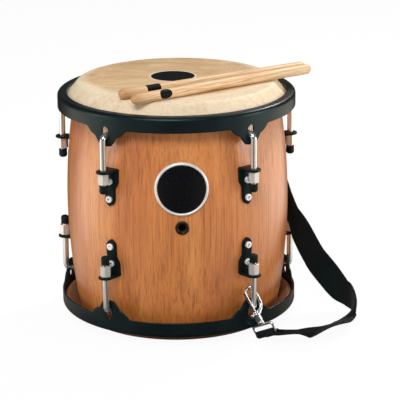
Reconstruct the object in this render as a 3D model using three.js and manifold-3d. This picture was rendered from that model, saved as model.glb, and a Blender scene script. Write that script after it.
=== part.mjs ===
// A tambora: a two-headed barrel drum with rod tuning, its carrying strap and a pair of sticks.
// Millimetres, +Z up. The origin is the centre of the lower head's face, and -Y is the front.
import * as THREE from 'three';
import { mergeVertices } from 'three/addons/utils/BufferGeometryUtils.js';
import Module from 'manifold-3d';

const wasm = await Module();
wasm.setup();

// Driving sizes: the whole drum
const HEIGHT = 322; // from head face to head face
const LUG_COUNT = 5; // tuning lugs at each head
const FACETS_PER_LUG = 8; // flat sides of a turned piece between two lugs
const SEAT = 0.3; // gap between two pieces that touch

// Shell
const SHELL_END_R = 134.7; // outer radius at the bearing edges
const SHELL_BULGE = 14.3; // how much larger the radius is at the waist
const SHELL_WALL = 9;
const BEARING_R = 7.5; // rounding over which the head bends

// Heads and flesh hoops
const SKIN_T = 1.2;
const HOOP_D = 5; // wire of the flesh hoop
const HOOP_REACH = 17.1; // from the bearing edge's radius out to the middle of that wire
const TUCK_SWEEP = 280; // degrees of the wire that the tucked skin goes round

// Counterhoops with their ears
const RIM_T = 2.5;
const RIM_GAP = 0.6; // between the tucked skin and the band
const RIM_DROP = 13.2; // from the head face down to the flange
const RIM_SHOULDER = 5; // outer rounding between flange and band
const BAND_H = 20.4;
const EAR_H = 23.2; // from the band's edge to the ear's tip
const EAR_ROOT = 31; // half-width where the ear leaves the band
const EAR_STEP = 19; // half-width at the step of its scalloped edge
const EAR_STEP_H = 13.5; // height of that step over the tip
const EAR_TIP = 8; // half-width of the rounded tip
const SLOT_W = 9.6; // slot in the ear for the tuning hook
const SLOT_H = 16.5;
const SLOT_RISE = 9.7; // from the ear's tip up to the slot's lower end

// Tuning hooks, their nuts and end caps
const ROD_D = 8;
const ROD_PITCH_TURN = 1.25; // thread travel for one turn of the nut
const ROD_GAP = 1; // between the rod and the face of the ear
const ROD_BEND = 6.5; // bend radius at the middle of the rod
const ROD_TAIL = 11; // how far the bent end reaches inside the band
const ROD_FREE = 31.4; // rod in view between ear and lug
const NUT_AF = 13;
const NUT_H = 14.5;
const NUT_BEVEL = 0.8;
const THREAD_GAP = 0.35; // radial room between rod and nut
const CAP_D = 11.4;
const CAP_L = 11.5;
const CAP_END = 2.4; // thickness of the closed end

// Lugs and their through bolts
const LUG_T = 3.5;
const LUG_W = 23; // across the wide upper plate
const TAIL_W = 14.6; // across the narrow tail
const LUG_WIDE_L = 17.5; // from the top to where the plate starts to narrow
const LUG_TAIL_TOP = 28; // from the top to where the tail begins
const LUG_TAIL_END = 41; // from the top to where the point begins
const LUG_L = 50;
const LUG_CORNER = 3;
const SHELF_T = 3;
const SHELF_NOSE = 9.6; // rounding round the rod
const SHELF_HOLE_GAP = 0.6;
const BOLT_DROPS = [17, 40.5]; // bolts below the lug's top
const BOLT_D = 6;
const BOLT_HEAD_D = 9.4;
const BOLT_HEAD_H = 2.6;
const BOLT_NUT_AF = 10;
const BOLT_NUT_H = 5;

// Badge and vent on the front
const FRONT_TURN = 1.4; // degrees from the front towards +X
const BADGE_D = 70;
const BADGE_RING_W = 3.4;
const BADGE_RISE = 51.4; // from the vent up to the badge's middle
const BADGE_T = 2;
const BADGE_RING_T = 3.2;
const VENT_D = 18.3;
const VENT_BORE = 9;
const VENT_TUBE_T = 1.6;
const VENT_FLANGE_T = 1.6;

// Sticks that lie on the upper head: middle of each end
const STICK_D = 13.6;
const STICK_FRONT = [[-57.7, -140], [179, 21.4]];
const STICK_BACK = [[-74.1, -111.5], [172.5, 35.6]];

// Bolt snaps at the ends of the strap
const SNAP_WIRE = 4.6;
const SNAP_LOOP_L = 28; // from the nose to the housing
const SNAP_LOOP_W = 16.5; // from the bolt to the middle of the hook's arm
const SNAP_BOLT_D = 4;
const SNAP_TRAVEL = 7; // how far the bolt draws back
const SNAP_HOUSING_D = 9.6;
const SNAP_HOUSING_L = 17.5;
const SNAP_BOLT_IN = 5; // bolt held in the housing when shut
const SNAP_KNOB_D = 3;
const SNAP_KNOB_REACH = 8.5;
const SNAP_STEM_D = 5;
const SNAP_STEM_IN = 3.5;
const EYE_BAR = 3.4;
const EYE_INSIDE_H = 9;

// Strap: webbing with its ends sewn back round the eyes
const STRAP_W = 38;
const STRAP_T = 2.4;
const STRAP_SIDE_GAP = 1; // between the webbing's edge and the eye
const STRAP_FOLD = 13; // length sewn back
const STRAP_FOLD_GAP = 0.4;

// Derived places. Heights of the upper end count from the drum's middle.
const MID = HEIGHT / 2;
const FACETS = LUG_COUNT * FACETS_PER_LUG;
const FLAT = Math.cos(Math.PI / FACETS); // a flat side lies nearer the axis than its corners
const BEARING_Z = MID - SKIN_T - SEAT - BEARING_R;
const BEARING_C = SHELL_END_R - BEARING_R;
const FLANGE_TOP = MID - RIM_DROP;
const FLANGE_UNDER = FLANGE_TOP - RIM_T;
const TUCK_IN = HOOP_D / 2 + SEAT;
const TUCK_OUT = TUCK_IN + SKIN_T;
const HOOP_R = SHELL_END_R + HOOP_REACH;
const HOOP_Z = FLANGE_UNDER - SEAT - TUCK_OUT;
const RIM_R = HOOP_R + TUCK_OUT + RIM_GAP + RIM_T;
const BAND_EDGE = FLANGE_TOP - BAND_H;
const EAR_TIP_Z = BAND_EDGE - EAR_H;
const SLOT_LOW = EAR_TIP_Z + SLOT_RISE;
const ROD_R = RIM_R + ROD_GAP + ROD_D / 2;
const ROD_TAIL_Z = SLOT_LOW + SEAT + ROD_D / 2;
const SHELF_TOP = EAR_TIP_Z - ROD_FREE;
const NUT_TOP = SHELF_TOP - SHELF_T - SEAT;
const NUT_LOW = NUT_TOP - NUT_H;
const CAP_TOP = NUT_LOW - ROD_PITCH_TURN - SEAT;
const ROD_END = CAP_TOP - CAP_L + CAP_END + SEAT;
const LUG_PITCH = (2 * Math.PI) / LUG_COUNT;

const rad = THREE.MathUtils.degToRad;
const vec = (x, y, z) => new THREE.Vector3(x, y, z);

// Solids: geometry with its vertices merged, and booleans on it

function welded(geometry) {
  const bare = geometry.clone();
  bare.deleteAttribute('normal');
  bare.deleteAttribute('uv');
  const merged = mergeVertices(bare, 1e-4);
  const index = merged.index.array;
  const kept = [];
  for (let i = 0; i < index.length; i += 3) {
    const [a, b, c] = [index[i], index[i + 1], index[i + 2]];
    if (a !== b && b !== c && c !== a) kept.push(a, b, c);
  }
  merged.setIndex(kept);
  return merged;
}

function solidOf(geometry) {
  const merged = welded(geometry);
  return new wasm.Manifold(new wasm.Mesh({
    numProp: 3,
    vertProperties: new Float32Array(merged.attributes.position.array),
    triVerts: new Uint32Array(merged.index.array),
  }));
}

function geometryOf(solid) {
  const mesh = solid.getMesh();
  const geometry = new THREE.BufferGeometry();
  geometry.setAttribute('position', new THREE.BufferAttribute(new Float32Array(mesh.vertProperties), 3));
  geometry.setIndex(new THREE.BufferAttribute(new Uint32Array(mesh.triVerts), 1));
  return geometry;
}

const joined = (solids) => solids.reduce((whole, next) => whole.add(next));

// Shapes that several pieces share

// A turned piece about Z from points [radius, height], counter-clockwise when seen with Z up.
// Its flat sides, and not its corners, face the lugs.
function turned(profile, sides = FACETS) {
  const points = profile.map(([r, z]) => new THREE.Vector2(Math.max(r, 0), z));
  return new THREE.LatheGeometry(points, sides).rotateX(Math.PI / 2).rotateZ(Math.PI / sides);
}

// Points of an arc in the plane of a turned profile, from one angle to another in degrees
function arcPoints(centre, radius, from, to, steps) {
  const points = [];
  for (let i = 0; i <= steps; i++) {
    const angle = rad(from + ((to - from) * i) / steps);
    points.push([centre[0] + radius * Math.cos(angle), centre[1] + radius * Math.sin(angle)]);
  }
  return points;
}

// An outline in the tangent plane (across, up), carried outwards along X from one radius to another
function radialPrism(shape, from, to, curveSteps) {
  const geometry = new THREE.ExtrudeGeometry(shape, {
    depth: to - from, bevelEnabled: false, curveSegments: curveSteps,
  });
  const place = new THREE.Matrix4().makeBasis(vec(0, 1, 0), vec(0, 0, 1), vec(1, 0, 0));
  return geometry.applyMatrix4(place.setPosition(from, 0, 0));
}

// A round bar along X
const radialBar = (radius, from, to, z, sides, outerRadius = radius) =>
  new THREE.CylinderGeometry(radius, outerRadius, to - from, sides)
    .rotateZ(Math.PI / 2).translate((from + to) / 2, 0, z);

function polygon(radius, sides, turn = 0) {
  const points = [];
  for (let i = 0; i < sides; i++) {
    const angle = turn + (2 * Math.PI * i) / sides;
    points.push(new THREE.Vector2(radius * Math.cos(angle), radius * Math.sin(angle)));
  }
  return points;
}

// A path through chosen stations: one long step on a straight run, short ones in a bend
class StationPath extends THREE.Curve {
  constructor(stations) {
    super();
    this.stations = stations;
  }

  indexAt(u) {
    return Math.round(u * (this.stations.length - 1));
  }

  getPointAt(u) {
    return this.stations[this.indexAt(u)].clone();
  }

  getTangentAt(u) {
    const here = this.indexAt(u);
    const before = this.stations[Math.max(here - 1, 0)];
    const at = this.stations[here];
    const after = this.stations[Math.min(here + 1, this.stations.length - 1)];
    const arriving = at.clone().sub(before).normalize();
    const leaving = after.clone().sub(at).normalize();
    return arriving.add(leaving).normalize();
  }
}

function bar(stations, radius, sides) {
  const section = new THREE.Shape(polygon(radius, sides, Math.PI / sides));
  return new THREE.ExtrudeGeometry(section, {
    steps: stations.length - 1, extrudePath: new StationPath(stations), bevelEnabled: false,
  });
}

// Shell: a barrel whose radius falls off with the square of the height

const SHELL_SPANS = 6;
const EDGE_STEPS = 2;
const shellRadius = (z) => SHELL_END_R + SHELL_BULGE * (1 - (z / BEARING_Z) ** 2);

const SPAN_H = (2 * BEARING_Z) / SHELL_SPANS;

function barrelSide(offset) {
  const points = [];
  for (let i = 0; i <= SHELL_SPANS; i++) {
    const z = i * SPAN_H - BEARING_Z;
    points.push([shellRadius(z) + offset, z]);
  }
  return points;
}

// Radius of the straight spans that the barrel is built of
function spanRadius(z) {
  const span = Math.floor((z + BEARING_Z) / SPAN_H);
  const low = span * SPAN_H - BEARING_Z;
  return THREE.MathUtils.lerp(shellRadius(low), shellRadius(low + SPAN_H), (z - low) / SPAN_H);
}

// A solid barrel that stands off the shell by an offset, to trim what seats on the shell
const barrel = (offset) => solidOf(turned([[0, -BEARING_Z], ...barrelSide(offset), [0, BEARING_Z]]));

function shellSolid() {
  const upperEdge = arcPoints([BEARING_C, BEARING_Z], BEARING_R, 0, 90, EDGE_STEPS).slice(1);
  const lowerEdge = upperEdge.map(([r, z]) => [r, -z]).reverse();
  const inside = barrelSide(-SHELL_WALL).reverse();
  const profile = [...lowerEdge, ...barrelSide(0), ...upperEdge, ...inside, lowerEdge[0]];
  const bore = solidOf(radialBar((BOLT_D / 2 + SEAT) / Math.cos(Math.PI / 6), SHELL_END_R / 2, 2 * SHELL_END_R, 0, 6));
  const holes = [];
  for (const end of [1, -1]) {
    for (let lug = 0; lug < LUG_COUNT; lug++) {
      for (const drop of BOLT_DROPS) {
        const turn = THREE.MathUtils.radToDeg(lugAngle(lug) - Math.PI / 2);
        holes.push(bore.translate([0, 0, end * (SHELF_TOP - drop)]).rotate([0, 0, turn]));
      }
    }
  }
  const ventTube = VENT_BORE / 2 + VENT_TUBE_T + SEAT;
  const vent = solidOf(radialBar(ventTube, SHELL_END_R / 2, 2 * SHELL_END_R, 0, 12));
  holes.push(vent.rotate([0, 0, FRONT_TURN - 90]));
  return solidOf(turned(profile)).subtract(joined(holes));
}

// Lugs stand half a pitch either side of the front
const lugAngle = (lug) => (lug + 0.5) * LUG_PITCH;

// Head: a thin skin, flat over the top, bent over the bearing edge and tucked round the flesh hoop.
// The collar is the line that touches the bearing edge from above and the hoop from below.

const COLLAR_OUT = BEARING_R + SEAT + SKIN_T;
const COLLAR_SPAN = Math.hypot(HOOP_R - BEARING_C, HOOP_Z - BEARING_Z);
const COLLAR_FALL = Math.atan2(HOOP_Z - BEARING_Z, HOOP_R - BEARING_C);
const COLLAR_TURN = COLLAR_FALL + Math.acos((COLLAR_OUT + TUCK_IN) / COLLAR_SPAN);

// Radius of the collar's outer face at a height
const collarRadius = (z) =>
  BEARING_C + (COLLAR_OUT - (z - BEARING_Z) * Math.sin(COLLAR_TURN)) / Math.cos(COLLAR_TURN);

function skinGeometry() {
  const lean = THREE.MathUtils.radToDeg(COLLAR_TURN);
  const bearing = [BEARING_C, BEARING_Z];
  const hoop = [HOOP_R, HOOP_Z];
  const roll = (radius) => arcPoints(hoop, radius, lean + 180, lean + 180 + TUCK_SWEEP, 6);
  const over = [[0, MID], ...arcPoints(bearing, COLLAR_OUT, 90, lean, 2), ...roll(TUCK_IN)];
  const under = [...roll(TUCK_OUT).reverse(), ...arcPoints(bearing, COLLAR_OUT - SKIN_T, lean, 90, 2),
    [0, MID - SKIN_T]];
  return turned([...over, ...under].reverse());
}

function fleshHoopGeometry() {
  const ring = arcPoints([HOOP_R, HOOP_Z], HOOP_D / 2, 0, 360, 6);
  return turned(ring);
}

// Counterhoop: flange and band turned in one, with an ear for each hook left standing below the band

const LIP = RIM_T / 2; // rounding of the flange's inner edge

function earShape() {
  const up = EAR_TIP_Z;
  const shape = new THREE.Shape();
  shape.moveTo(-EAR_ROOT, BAND_EDGE + RIM_T);
  shape.lineTo(-EAR_ROOT, BAND_EDGE);
  const scoop = EAR_STEP + 0.3 * (EAR_ROOT - EAR_STEP);
  shape.quadraticCurveTo(-scoop, up + EAR_STEP_H + 1, -EAR_STEP, up + EAR_STEP_H);
  const neck = (EAR_STEP + EAR_TIP) / 2;
  shape.quadraticCurveTo(-neck, up + EAR_STEP_H / 2, -EAR_TIP, up + 1);
  shape.quadraticCurveTo(0, up - 1, EAR_TIP, up + 1);
  shape.quadraticCurveTo(neck, up + EAR_STEP_H / 2, EAR_STEP, up + EAR_STEP_H);
  shape.quadraticCurveTo(scoop, up + EAR_STEP_H + 1, EAR_ROOT, BAND_EDGE);
  shape.lineTo(EAR_ROOT, BAND_EDGE + RIM_T);
  shape.closePath();
  return shape;
}

function slotShape() {
  const half = SLOT_W / 2;
  const shape = new THREE.Shape();
  shape.absarc(0, SLOT_LOW + half, half, Math.PI, 2 * Math.PI, false);
  shape.absarc(0, SLOT_LOW + SLOT_H - half, half, 0, Math.PI, false);
  shape.closePath();
  return shape;
}

function rimSolid() {
  const inner = RIM_R - RIM_T;
  const lip = collarRadius(FLANGE_UNDER) + SEAT;
  const low = EAR_TIP_Z - RIM_T;
  const shoulder = arcPoints([RIM_R - RIM_SHOULDER, FLANGE_TOP - RIM_SHOULDER], RIM_SHOULDER, 0, 90, 2);
  const inside = arcPoints([inner - RIM_T, FLANGE_UNDER - RIM_T], RIM_T, 90, 0, 1);
  const profile = [[inner, low], [RIM_R, low], ...shoulder, [lip + LIP, FLANGE_TOP],
    [lip, FLANGE_TOP - LIP], [lip + LIP / 2, FLANGE_UNDER], ...inside, [inner, low]];
  const ring = [[inner - RIM_T, low - 1], [RIM_R + RIM_T, low - 1], [RIM_R + RIM_T, BAND_EDGE],
    [inner - RIM_T, BAND_EDGE], [inner - RIM_T, low - 1]];
  const ear = solidOf(radialPrism(earShape(), inner - 2 * RIM_T, RIM_R + 2 * RIM_T, 3));
  const slot = solidOf(radialPrism(slotShape(), inner - 2 * RIM_T, RIM_R + 2 * RIM_T, 3));
  const around = (solid) => {
    const copies = [];
    for (let lug = 0; lug < LUG_COUNT; lug++) {
      copies.push(solid.rotate([0, 0, THREE.MathUtils.radToDeg(lugAngle(lug) - Math.PI / 2)]));
    }
    return joined(copies);
  };
  const waste = solidOf(turned(ring)).subtract(around(ear));
  return solidOf(turned(profile)).subtract(waste).subtract(around(slot));
}

// Tuning hook: a threaded rod, bent through the slot of the ear

function hookGeometry() {
  const stations = [vec(ROD_R, 0, ROD_END)];
  const bend = arcPoints([ROD_R - ROD_BEND, ROD_TAIL_Z - ROD_BEND], ROD_BEND, 0, 90, 4);
  for (const [x, z] of bend) stations.push(vec(x, 0, z));
  stations.push(vec(RIM_R - RIM_T - ROD_TAIL, 0, ROD_TAIL_Z));
  return bar(stations, ROD_D / 2, 8);
}

function nutGeometry() {
  const across = NUT_AF / 2 / Math.cos(Math.PI / 6) - NUT_BEVEL;
  const shape = new THREE.Shape(polygon(across, 6));
  const bore = (ROD_D / 2 + THREAD_GAP) / Math.cos(Math.PI / 8) + NUT_BEVEL;
  shape.holes.push(new THREE.Path(polygon(bore, 8, Math.PI / 8).reverse()));
  const geometry = new THREE.ExtrudeGeometry(shape, {
    depth: NUT_H - 2 * NUT_BEVEL, bevelThickness: NUT_BEVEL, bevelSize: NUT_BEVEL, bevelSegments: 1,
  });
  return geometry.translate(ROD_R, 0, NUT_LOW + NUT_BEVEL);
}

function capGeometry() {
  const low = CAP_TOP - CAP_L;
  const bore = (ROD_D / 2 + SEAT) / Math.cos(Math.PI / 8);
  const dome = CAP_D / 3;
  const outside = arcPoints([CAP_D / 2 - dome, low + dome], dome, -90, 0, 2);
  const profile = [[0, low], ...outside, [CAP_D / 2, CAP_TOP], [bore, CAP_TOP], [bore, low + CAP_END],
    [0, low + CAP_END]];
  return turned(profile, 8).translate(ROD_R, 0, 0);
}

// Lug: a plate that follows the shell, a shelf for the nut, and two bolts through the wall

function lugPlateShape() {
  const top = SHELF_TOP;
  const wide = LUG_W / 2;
  const tail = TAIL_W / 2;
  const bend = (LUG_WIDE_L + LUG_TAIL_TOP) / 2;
  const shape = new THREE.Shape();
  shape.moveTo(0, top - LUG_L);
  shape.quadraticCurveTo(tail, top - LUG_TAIL_END - 4, tail, top - LUG_TAIL_END);
  shape.lineTo(tail, top - LUG_TAIL_TOP);
  shape.bezierCurveTo(tail, top - bend, wide, top - bend, wide, top - LUG_WIDE_L);
  shape.lineTo(wide, top - LUG_CORNER);
  shape.quadraticCurveTo(wide, top, wide - LUG_CORNER, top);
  shape.lineTo(LUG_CORNER - wide, top);
  shape.quadraticCurveTo(-wide, top, -wide, top - LUG_CORNER);
  shape.lineTo(-wide, top - LUG_WIDE_L);
  shape.bezierCurveTo(-wide, top - bend, -tail, top - bend, -tail, top - LUG_TAIL_TOP);
  shape.lineTo(-tail, top - LUG_TAIL_END);
  shape.quadraticCurveTo(-tail, top - LUG_TAIL_END - 4, 0, top - LUG_L);
  return shape;
}

function shelfGeometry() {
  const root = SHELL_END_R - SHELL_WALL;
  const wide = LUG_W / 2 - LUG_CORNER;
  const shape = new THREE.Shape();
  shape.moveTo(root, -wide);
  shape.lineTo(shellRadius(SHELF_TOP) + LUG_T, -wide);
  shape.lineTo(ROD_R, -SHELF_NOSE);
  shape.absarc(ROD_R, 0, SHELF_NOSE, -Math.PI / 2, Math.PI / 2, false);
  shape.lineTo(shellRadius(SHELF_TOP) + LUG_T, wide);
  shape.lineTo(root, wide);
  shape.holes.push(new THREE.Path(polygon(ROD_D / 2 + SHELF_HOLE_GAP, 8, Math.PI / 8).reverse()
    .map((p) => p.add(new THREE.Vector2(ROD_R, 0)))));
  const geometry = new THREE.ExtrudeGeometry(shape, { depth: SHELF_T, bevelEnabled: false, curveSegments: 5 });
  return geometry.translate(0, 0, SHELF_TOP - SHELF_T);
}

function lugSolid() {
  const plate = radialPrism(lugPlateShape(), SHELL_END_R - SHELL_WALL, ROD_R, 2);
  const skinOfShell = barrel(SEAT);
  const body = solidOf(plate).intersect(barrel(SEAT + LUG_T)).add(solidOf(shelfGeometry()));
  const bolts = BOLT_DROPS.map((drop) => {
    const z = SHELF_TOP - drop;
    const face = (shellRadius(z) + SEAT + LUG_T) * FLAT;
    const across = BOLT_NUT_AF / 2 / Math.cos(Math.PI / 6);
    const inside = (spanRadius(z + across) - SHELL_WALL) * FLAT - SEAT;
    const head = radialBar(BOLT_HEAD_D / 2, face - LUG_T / 2, face + BOLT_HEAD_H, z, 8, BOLT_HEAD_D / 2.6);
    const shank = radialBar(BOLT_D / 2, inside - BOLT_NUT_H / 2, face, z, 6);
    const nut = radialBar(across, inside - BOLT_NUT_H, inside, z, 6);
    return joined([solidOf(head), solidOf(shank), solidOf(nut)]);
  });
  return body.subtract(skinOfShell).add(joined(bolts));
}

// Badge and vent: they follow the front of the shell

const frontPlace = (solid) => solid.rotate([0, 0, FRONT_TURN - 90]);

function badgeSolid(outer, hole, thickness) {
  const shape = new THREE.Shape(polygon(outer, 24));
  if (hole) shape.holes.push(new THREE.Path(polygon(hole, 24).reverse()));
  const prism = radialPrism(shape, SHELL_END_R - BADGE_D / 4, ROD_R, 1);
  const placed = frontPlace(solidOf(prism).translate([0, 0, BADGE_RISE]));
  return placed.intersect(barrel(SEAT + thickness)).subtract(barrel(SEAT));
}

// Vent grommet: a flanged tube through the wall, rolled over on the inside
function ventSolid() {
  const tube = VENT_BORE / 2 + VENT_TUBE_T;
  const face = shellRadius(0) + SEAT;
  const back = (shellRadius(0) - SHELL_WALL) * FLAT - SEAT;
  const profile = [[VENT_BORE / 2, back - VENT_FLANGE_T], [tube + VENT_TUBE_T, back - VENT_FLANGE_T],
    [tube + VENT_TUBE_T, back], [tube, back], [tube, face], [VENT_D / 2, face],
    [VENT_D / 2 - VENT_TUBE_T / 2, face + VENT_FLANGE_T], [tube, face + VENT_FLANGE_T],
    [VENT_BORE / 2, face], [VENT_BORE / 2, back - VENT_FLANGE_T]];
  return frontPlace(solidOf(turned(profile, 12).rotateY(Math.PI / 2)));
}

// Stick: a plain round rod with rounded ends, lying from one point to another on the upper head

function stickGeometry([from, to]) {
  const radius = STICK_D / 2;
  const length = Math.hypot(to[0] - from[0], to[1] - from[1]);
  const dome = arcPoints([0, length - radius], radius, 0, 90, 3);
  const foot = dome.map(([r, z]) => [r, length - z]).reverse();
  const stick = turned([...foot, ...dome], 10).rotateY(Math.PI / 2);
  const heading = Math.atan2(to[1] - from[1], to[0] - from[0]);
  return stick.rotateZ(heading).translate(from[0], from[1], HEIGHT + SEAT + radius);
}

// Bolt snap, in its own frame: the bolt lies on Y with its tip at the origin, the arm bulges to +X

const SNAP_GAP = 0.3; // running room of bolt and swivel
const HOUSING_END = -SNAP_LOOP_L - SNAP_HOUSING_L;
const EYE_TOP = HOUSING_END - SEAT;
const EYE_LOW_BAR = EYE_TOP - 1.5 * EYE_BAR - EYE_INSIDE_H;
const KNOB_Y = -SNAP_LOOP_L - SNAP_KNOB_D;

// A round bar along Y
const axialBar = (radius, from, to, sides) =>
  new THREE.CylinderGeometry(radius, radius, to - from, sides).translate(0, (from + to) / 2, 0);

function snapHookSolid() {
  const wire = SNAP_WIRE / 2;
  const rise = wire + SNAP_GAP; // the nose stands over the bolt's tip
  const turnR = SNAP_LOOP_W / 2;
  const stations = [vec(0, -SNAP_LOOP_L - SNAP_HOUSING_D / 2, 0), vec(SNAP_LOOP_W * 0.78, -SNAP_LOOP_L - 0.5, 0)];
  stations.push(vec(SNAP_LOOP_W, -SNAP_LOOP_L * 0.62, 0), vec(SNAP_LOOP_W, rise - turnR, 0));
  for (const [x, y] of arcPoints([turnR, rise - turnR], turnR, 30, 150, 4)) stations.push(vec(x, y, 0));
  stations.push(vec(0, rise - turnR * 0.72, 0));
  const noseTrim = solidOf(axialBar(SNAP_WIRE, -SNAP_LOOP_L / 2, SNAP_GAP, 8));
  const arm = solidOf(bar(stations, wire, 8)).subtract(noseTrim);
  const housing = solidOf(axialBar(SNAP_HOUSING_D / 2, HOUSING_END, -SNAP_LOOP_L, 10));
  const bore = SNAP_BOLT_D / 2 + SNAP_GAP;
  const boltEnd = -SNAP_LOOP_L - SNAP_BOLT_IN - SNAP_TRAVEL - SNAP_GAP;
  const boltBore = solidOf(axialBar(bore, boltEnd, -SNAP_LOOP_L + 1, 8));
  const slotEnd = KNOB_Y - SNAP_KNOB_D / 2 - SNAP_TRAVEL - SNAP_GAP;
  const slotW = SNAP_KNOB_D + 2 * SNAP_GAP;
  const slotTop = -SNAP_LOOP_L + 1;
  const slot = new THREE.BoxGeometry(SNAP_HOUSING_D, slotTop - slotEnd, slotW)
    .translate(-SNAP_HOUSING_D / 2, (slotTop + slotEnd) / 2, 0);
  const socketTop = HOUSING_END + SNAP_STEM_IN + SNAP_GAP;
  const socket = solidOf(axialBar((SNAP_STEM_D / 2 + SNAP_GAP) / Math.cos(Math.PI / 8), HOUSING_END - 1, socketTop, 8));
  return arm.add(housing).subtract(joined([boltBore, solidOf(slot), socket]));
}

function snapBoltSolid() {
  const rod = solidOf(axialBar(SNAP_BOLT_D / 2, -SNAP_LOOP_L - SNAP_BOLT_IN, 0, 8));
  const stem = new THREE.CylinderGeometry(SNAP_KNOB_D / 2, SNAP_KNOB_D / 2, SNAP_KNOB_REACH, 8)
    .rotateZ(Math.PI / 2).translate(-SNAP_KNOB_REACH / 2, KNOB_Y, 0);
  const knob = new THREE.CylinderGeometry(SNAP_KNOB_D * 0.8, SNAP_KNOB_D * 0.6, SNAP_KNOB_D / 2, 8)
    .rotateZ(Math.PI / 2).translate(-SNAP_KNOB_REACH, KNOB_Y, 0);
  return joined([rod, solidOf(stem), solidOf(knob)]);
}

// Swivel eye: a stem that turns in the housing, and a square loop for the webbing
function snapEyeSolid() {
  const inside = STRAP_W / 2 + STRAP_SIDE_GAP;
  const outside = inside + EYE_BAR;
  const top = EYE_TOP;
  const low = top - 2 * EYE_BAR - EYE_INSIDE_H;
  const shape = new THREE.Shape();
  shape.moveTo(-outside, low + EYE_BAR / 2);
  shape.quadraticCurveTo(-outside, low, EYE_BAR / 2 - outside, low);
  shape.lineTo(outside - EYE_BAR / 2, low);
  shape.quadraticCurveTo(outside, low, outside, low + EYE_BAR / 2);
  shape.lineTo(outside, top - EYE_BAR);
  shape.quadraticCurveTo(outside, top, outside - EYE_BAR, top);
  shape.lineTo(EYE_BAR - outside, top);
  shape.quadraticCurveTo(-outside, top, -outside, top - EYE_BAR);
  shape.closePath();
  const hole = new THREE.Path();
  hole.moveTo(-inside, low + EYE_BAR);
  hole.lineTo(-inside, top - EYE_BAR);
  hole.lineTo(inside, top - EYE_BAR);
  hole.lineTo(inside, low + EYE_BAR);
  hole.closePath();
  shape.holes.push(hole);
  const loop = new THREE.ExtrudeGeometry(shape, { depth: EYE_BAR, bevelEnabled: false, curveSegments: 3 });
  const stem = solidOf(axialBar(SNAP_STEM_D / 2, top - EYE_BAR / 2, HOUSING_END + SNAP_STEM_IN, 8));
  return solidOf(loop.translate(0, 0, -EYE_BAR / 2)).add(stem);
}

// Where a snap hangs on its rod: the bolt's tip, the way its axis points and the side of its arm,
// each as (along the rim, outwards, up) at that rod
function snapFrame(lug, tip, axis, side) {
  const angle = lugAngle(lug);
  const along = vec(Math.cos(angle), Math.sin(angle), 0);
  const outward = vec(Math.sin(angle), -Math.cos(angle), 0);
  const world = ([a, o, u]) => along.clone().multiplyScalar(a).addScaledVector(outward, o).setZ(u);
  const down = world(axis).normalize();
  const x = world(side).addScaledVector(down, -world(side).dot(down)).normalize();
  const y = down.clone().negate();
  const frame = new THREE.Matrix4().makeBasis(x, y, x.clone().cross(y));
  return frame.setPosition(world(tip));
}

// A frame turned about its own Y, for the swivel eye
const swivelled = (frame, degrees) => frame.clone().multiply(new THREE.Matrix4().makeRotationY(rad(degrees)));

// The lower snap hangs on the front right rod of the lower head, and leans out over the counterhoop.
// The upper one lies against the rear rod of the upper head.
const LOWER_EAR_TIP = HEIGHT - (MID + EAR_TIP_Z);
const UPPER_SHELF = MID + SHELF_TOP;
const LOWER_SNAP = snapFrame(0, [-11.4, ROD_R - 4.9, LOWER_EAR_TIP + 9], [0.28, 0.42, -0.86], [1, -0.08, 0]);
const UPPER_SNAP = snapFrame(2, [12.5, ROD_R + 6.8, UPPER_SHELF + 25.5], [-0.8, 0, -0.6], [0, -1, 0]);
const LOWER_EYE = swivelled(LOWER_SNAP, -95);
const UPPER_EYE = swivelled(UPPER_SNAP, 90);

// Strap: its middle line from the lower eye to the upper one. Each station gives degrees round the drum
// from the front towards +X, how far out from the counterhoop, its height and the way its width points.
// Heights beside the lower hardware count from the floor, those beside the upper hardware from the top.

const strapStation = (turn, out, up, across) => {
  const radius = RIM_R + out;
  return { at: vec(radius * Math.sin(rad(turn)), -radius * Math.cos(rad(turn)), up), across: vec(...across) };
};

const STRAP_ROUTE = [
  strapStation(46.8, 52.5, 14.4, [-0.38, 0.82, -0.42]),
  strapStation(50.3, 68.4, 13.8, [-0.39, 0.67, -0.64]),
  strapStation(54.1, 72.4, 13.1, [-0.57, 0.54, -0.62]),
  strapStation(58.2, 74.2, 12.3, [-0.62, 0.53, -0.57]),
  strapStation(63.9, 77.5, 10.2, [-0.6, 0.72, -0.34]),
  strapStation(68.3, 79.4, 10.9, [-0.55, 0.74, -0.4]),
  strapStation(69.6, 80.3, 12.6, [-0.21, 0.92, -0.33]),
  strapStation(73.7, 84.7, 18.6, [0, 0.71, -0.7]),
  strapStation(78.6, 81.2, 23.3, [-0.02, 0.5, -0.87]),
  strapStation(81.2, 73.9, 26.2, [-0.34, 0.54, -0.77]),
  strapStation(83.2, 62, 31.7, [-0.62, 0.43, -0.66]),
  strapStation(85.7, 47.2, 46.9, [-0.61, 0.26, -0.75]),
  strapStation(86.8, 26.6, 74.3, [-0.36, 0.29, -0.89]),
  strapStation(91, 8.6, 107, [-0.42, 0.32, -0.85]),
  strapStation(97.2, 1.4, 122, [-0.3, 0.66, -0.69]),
  strapStation(103.9, -0.8, 138, [-0.2, 0.72, -0.66]),
  strapStation(111.5, -0.9, MID - 9, [-0.25, 0.6, -0.75]),
  strapStation(120.5, -1.1, MID + 6, [-0.15, 0.3, -0.94]),
  strapStation(133.2, -2.6, HEIGHT - 133, [0.2, -0.1, -0.97]),
  strapStation(148.5, 1.8, HEIGHT - 117, [0.32, -0.1, -0.94]),
];

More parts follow.
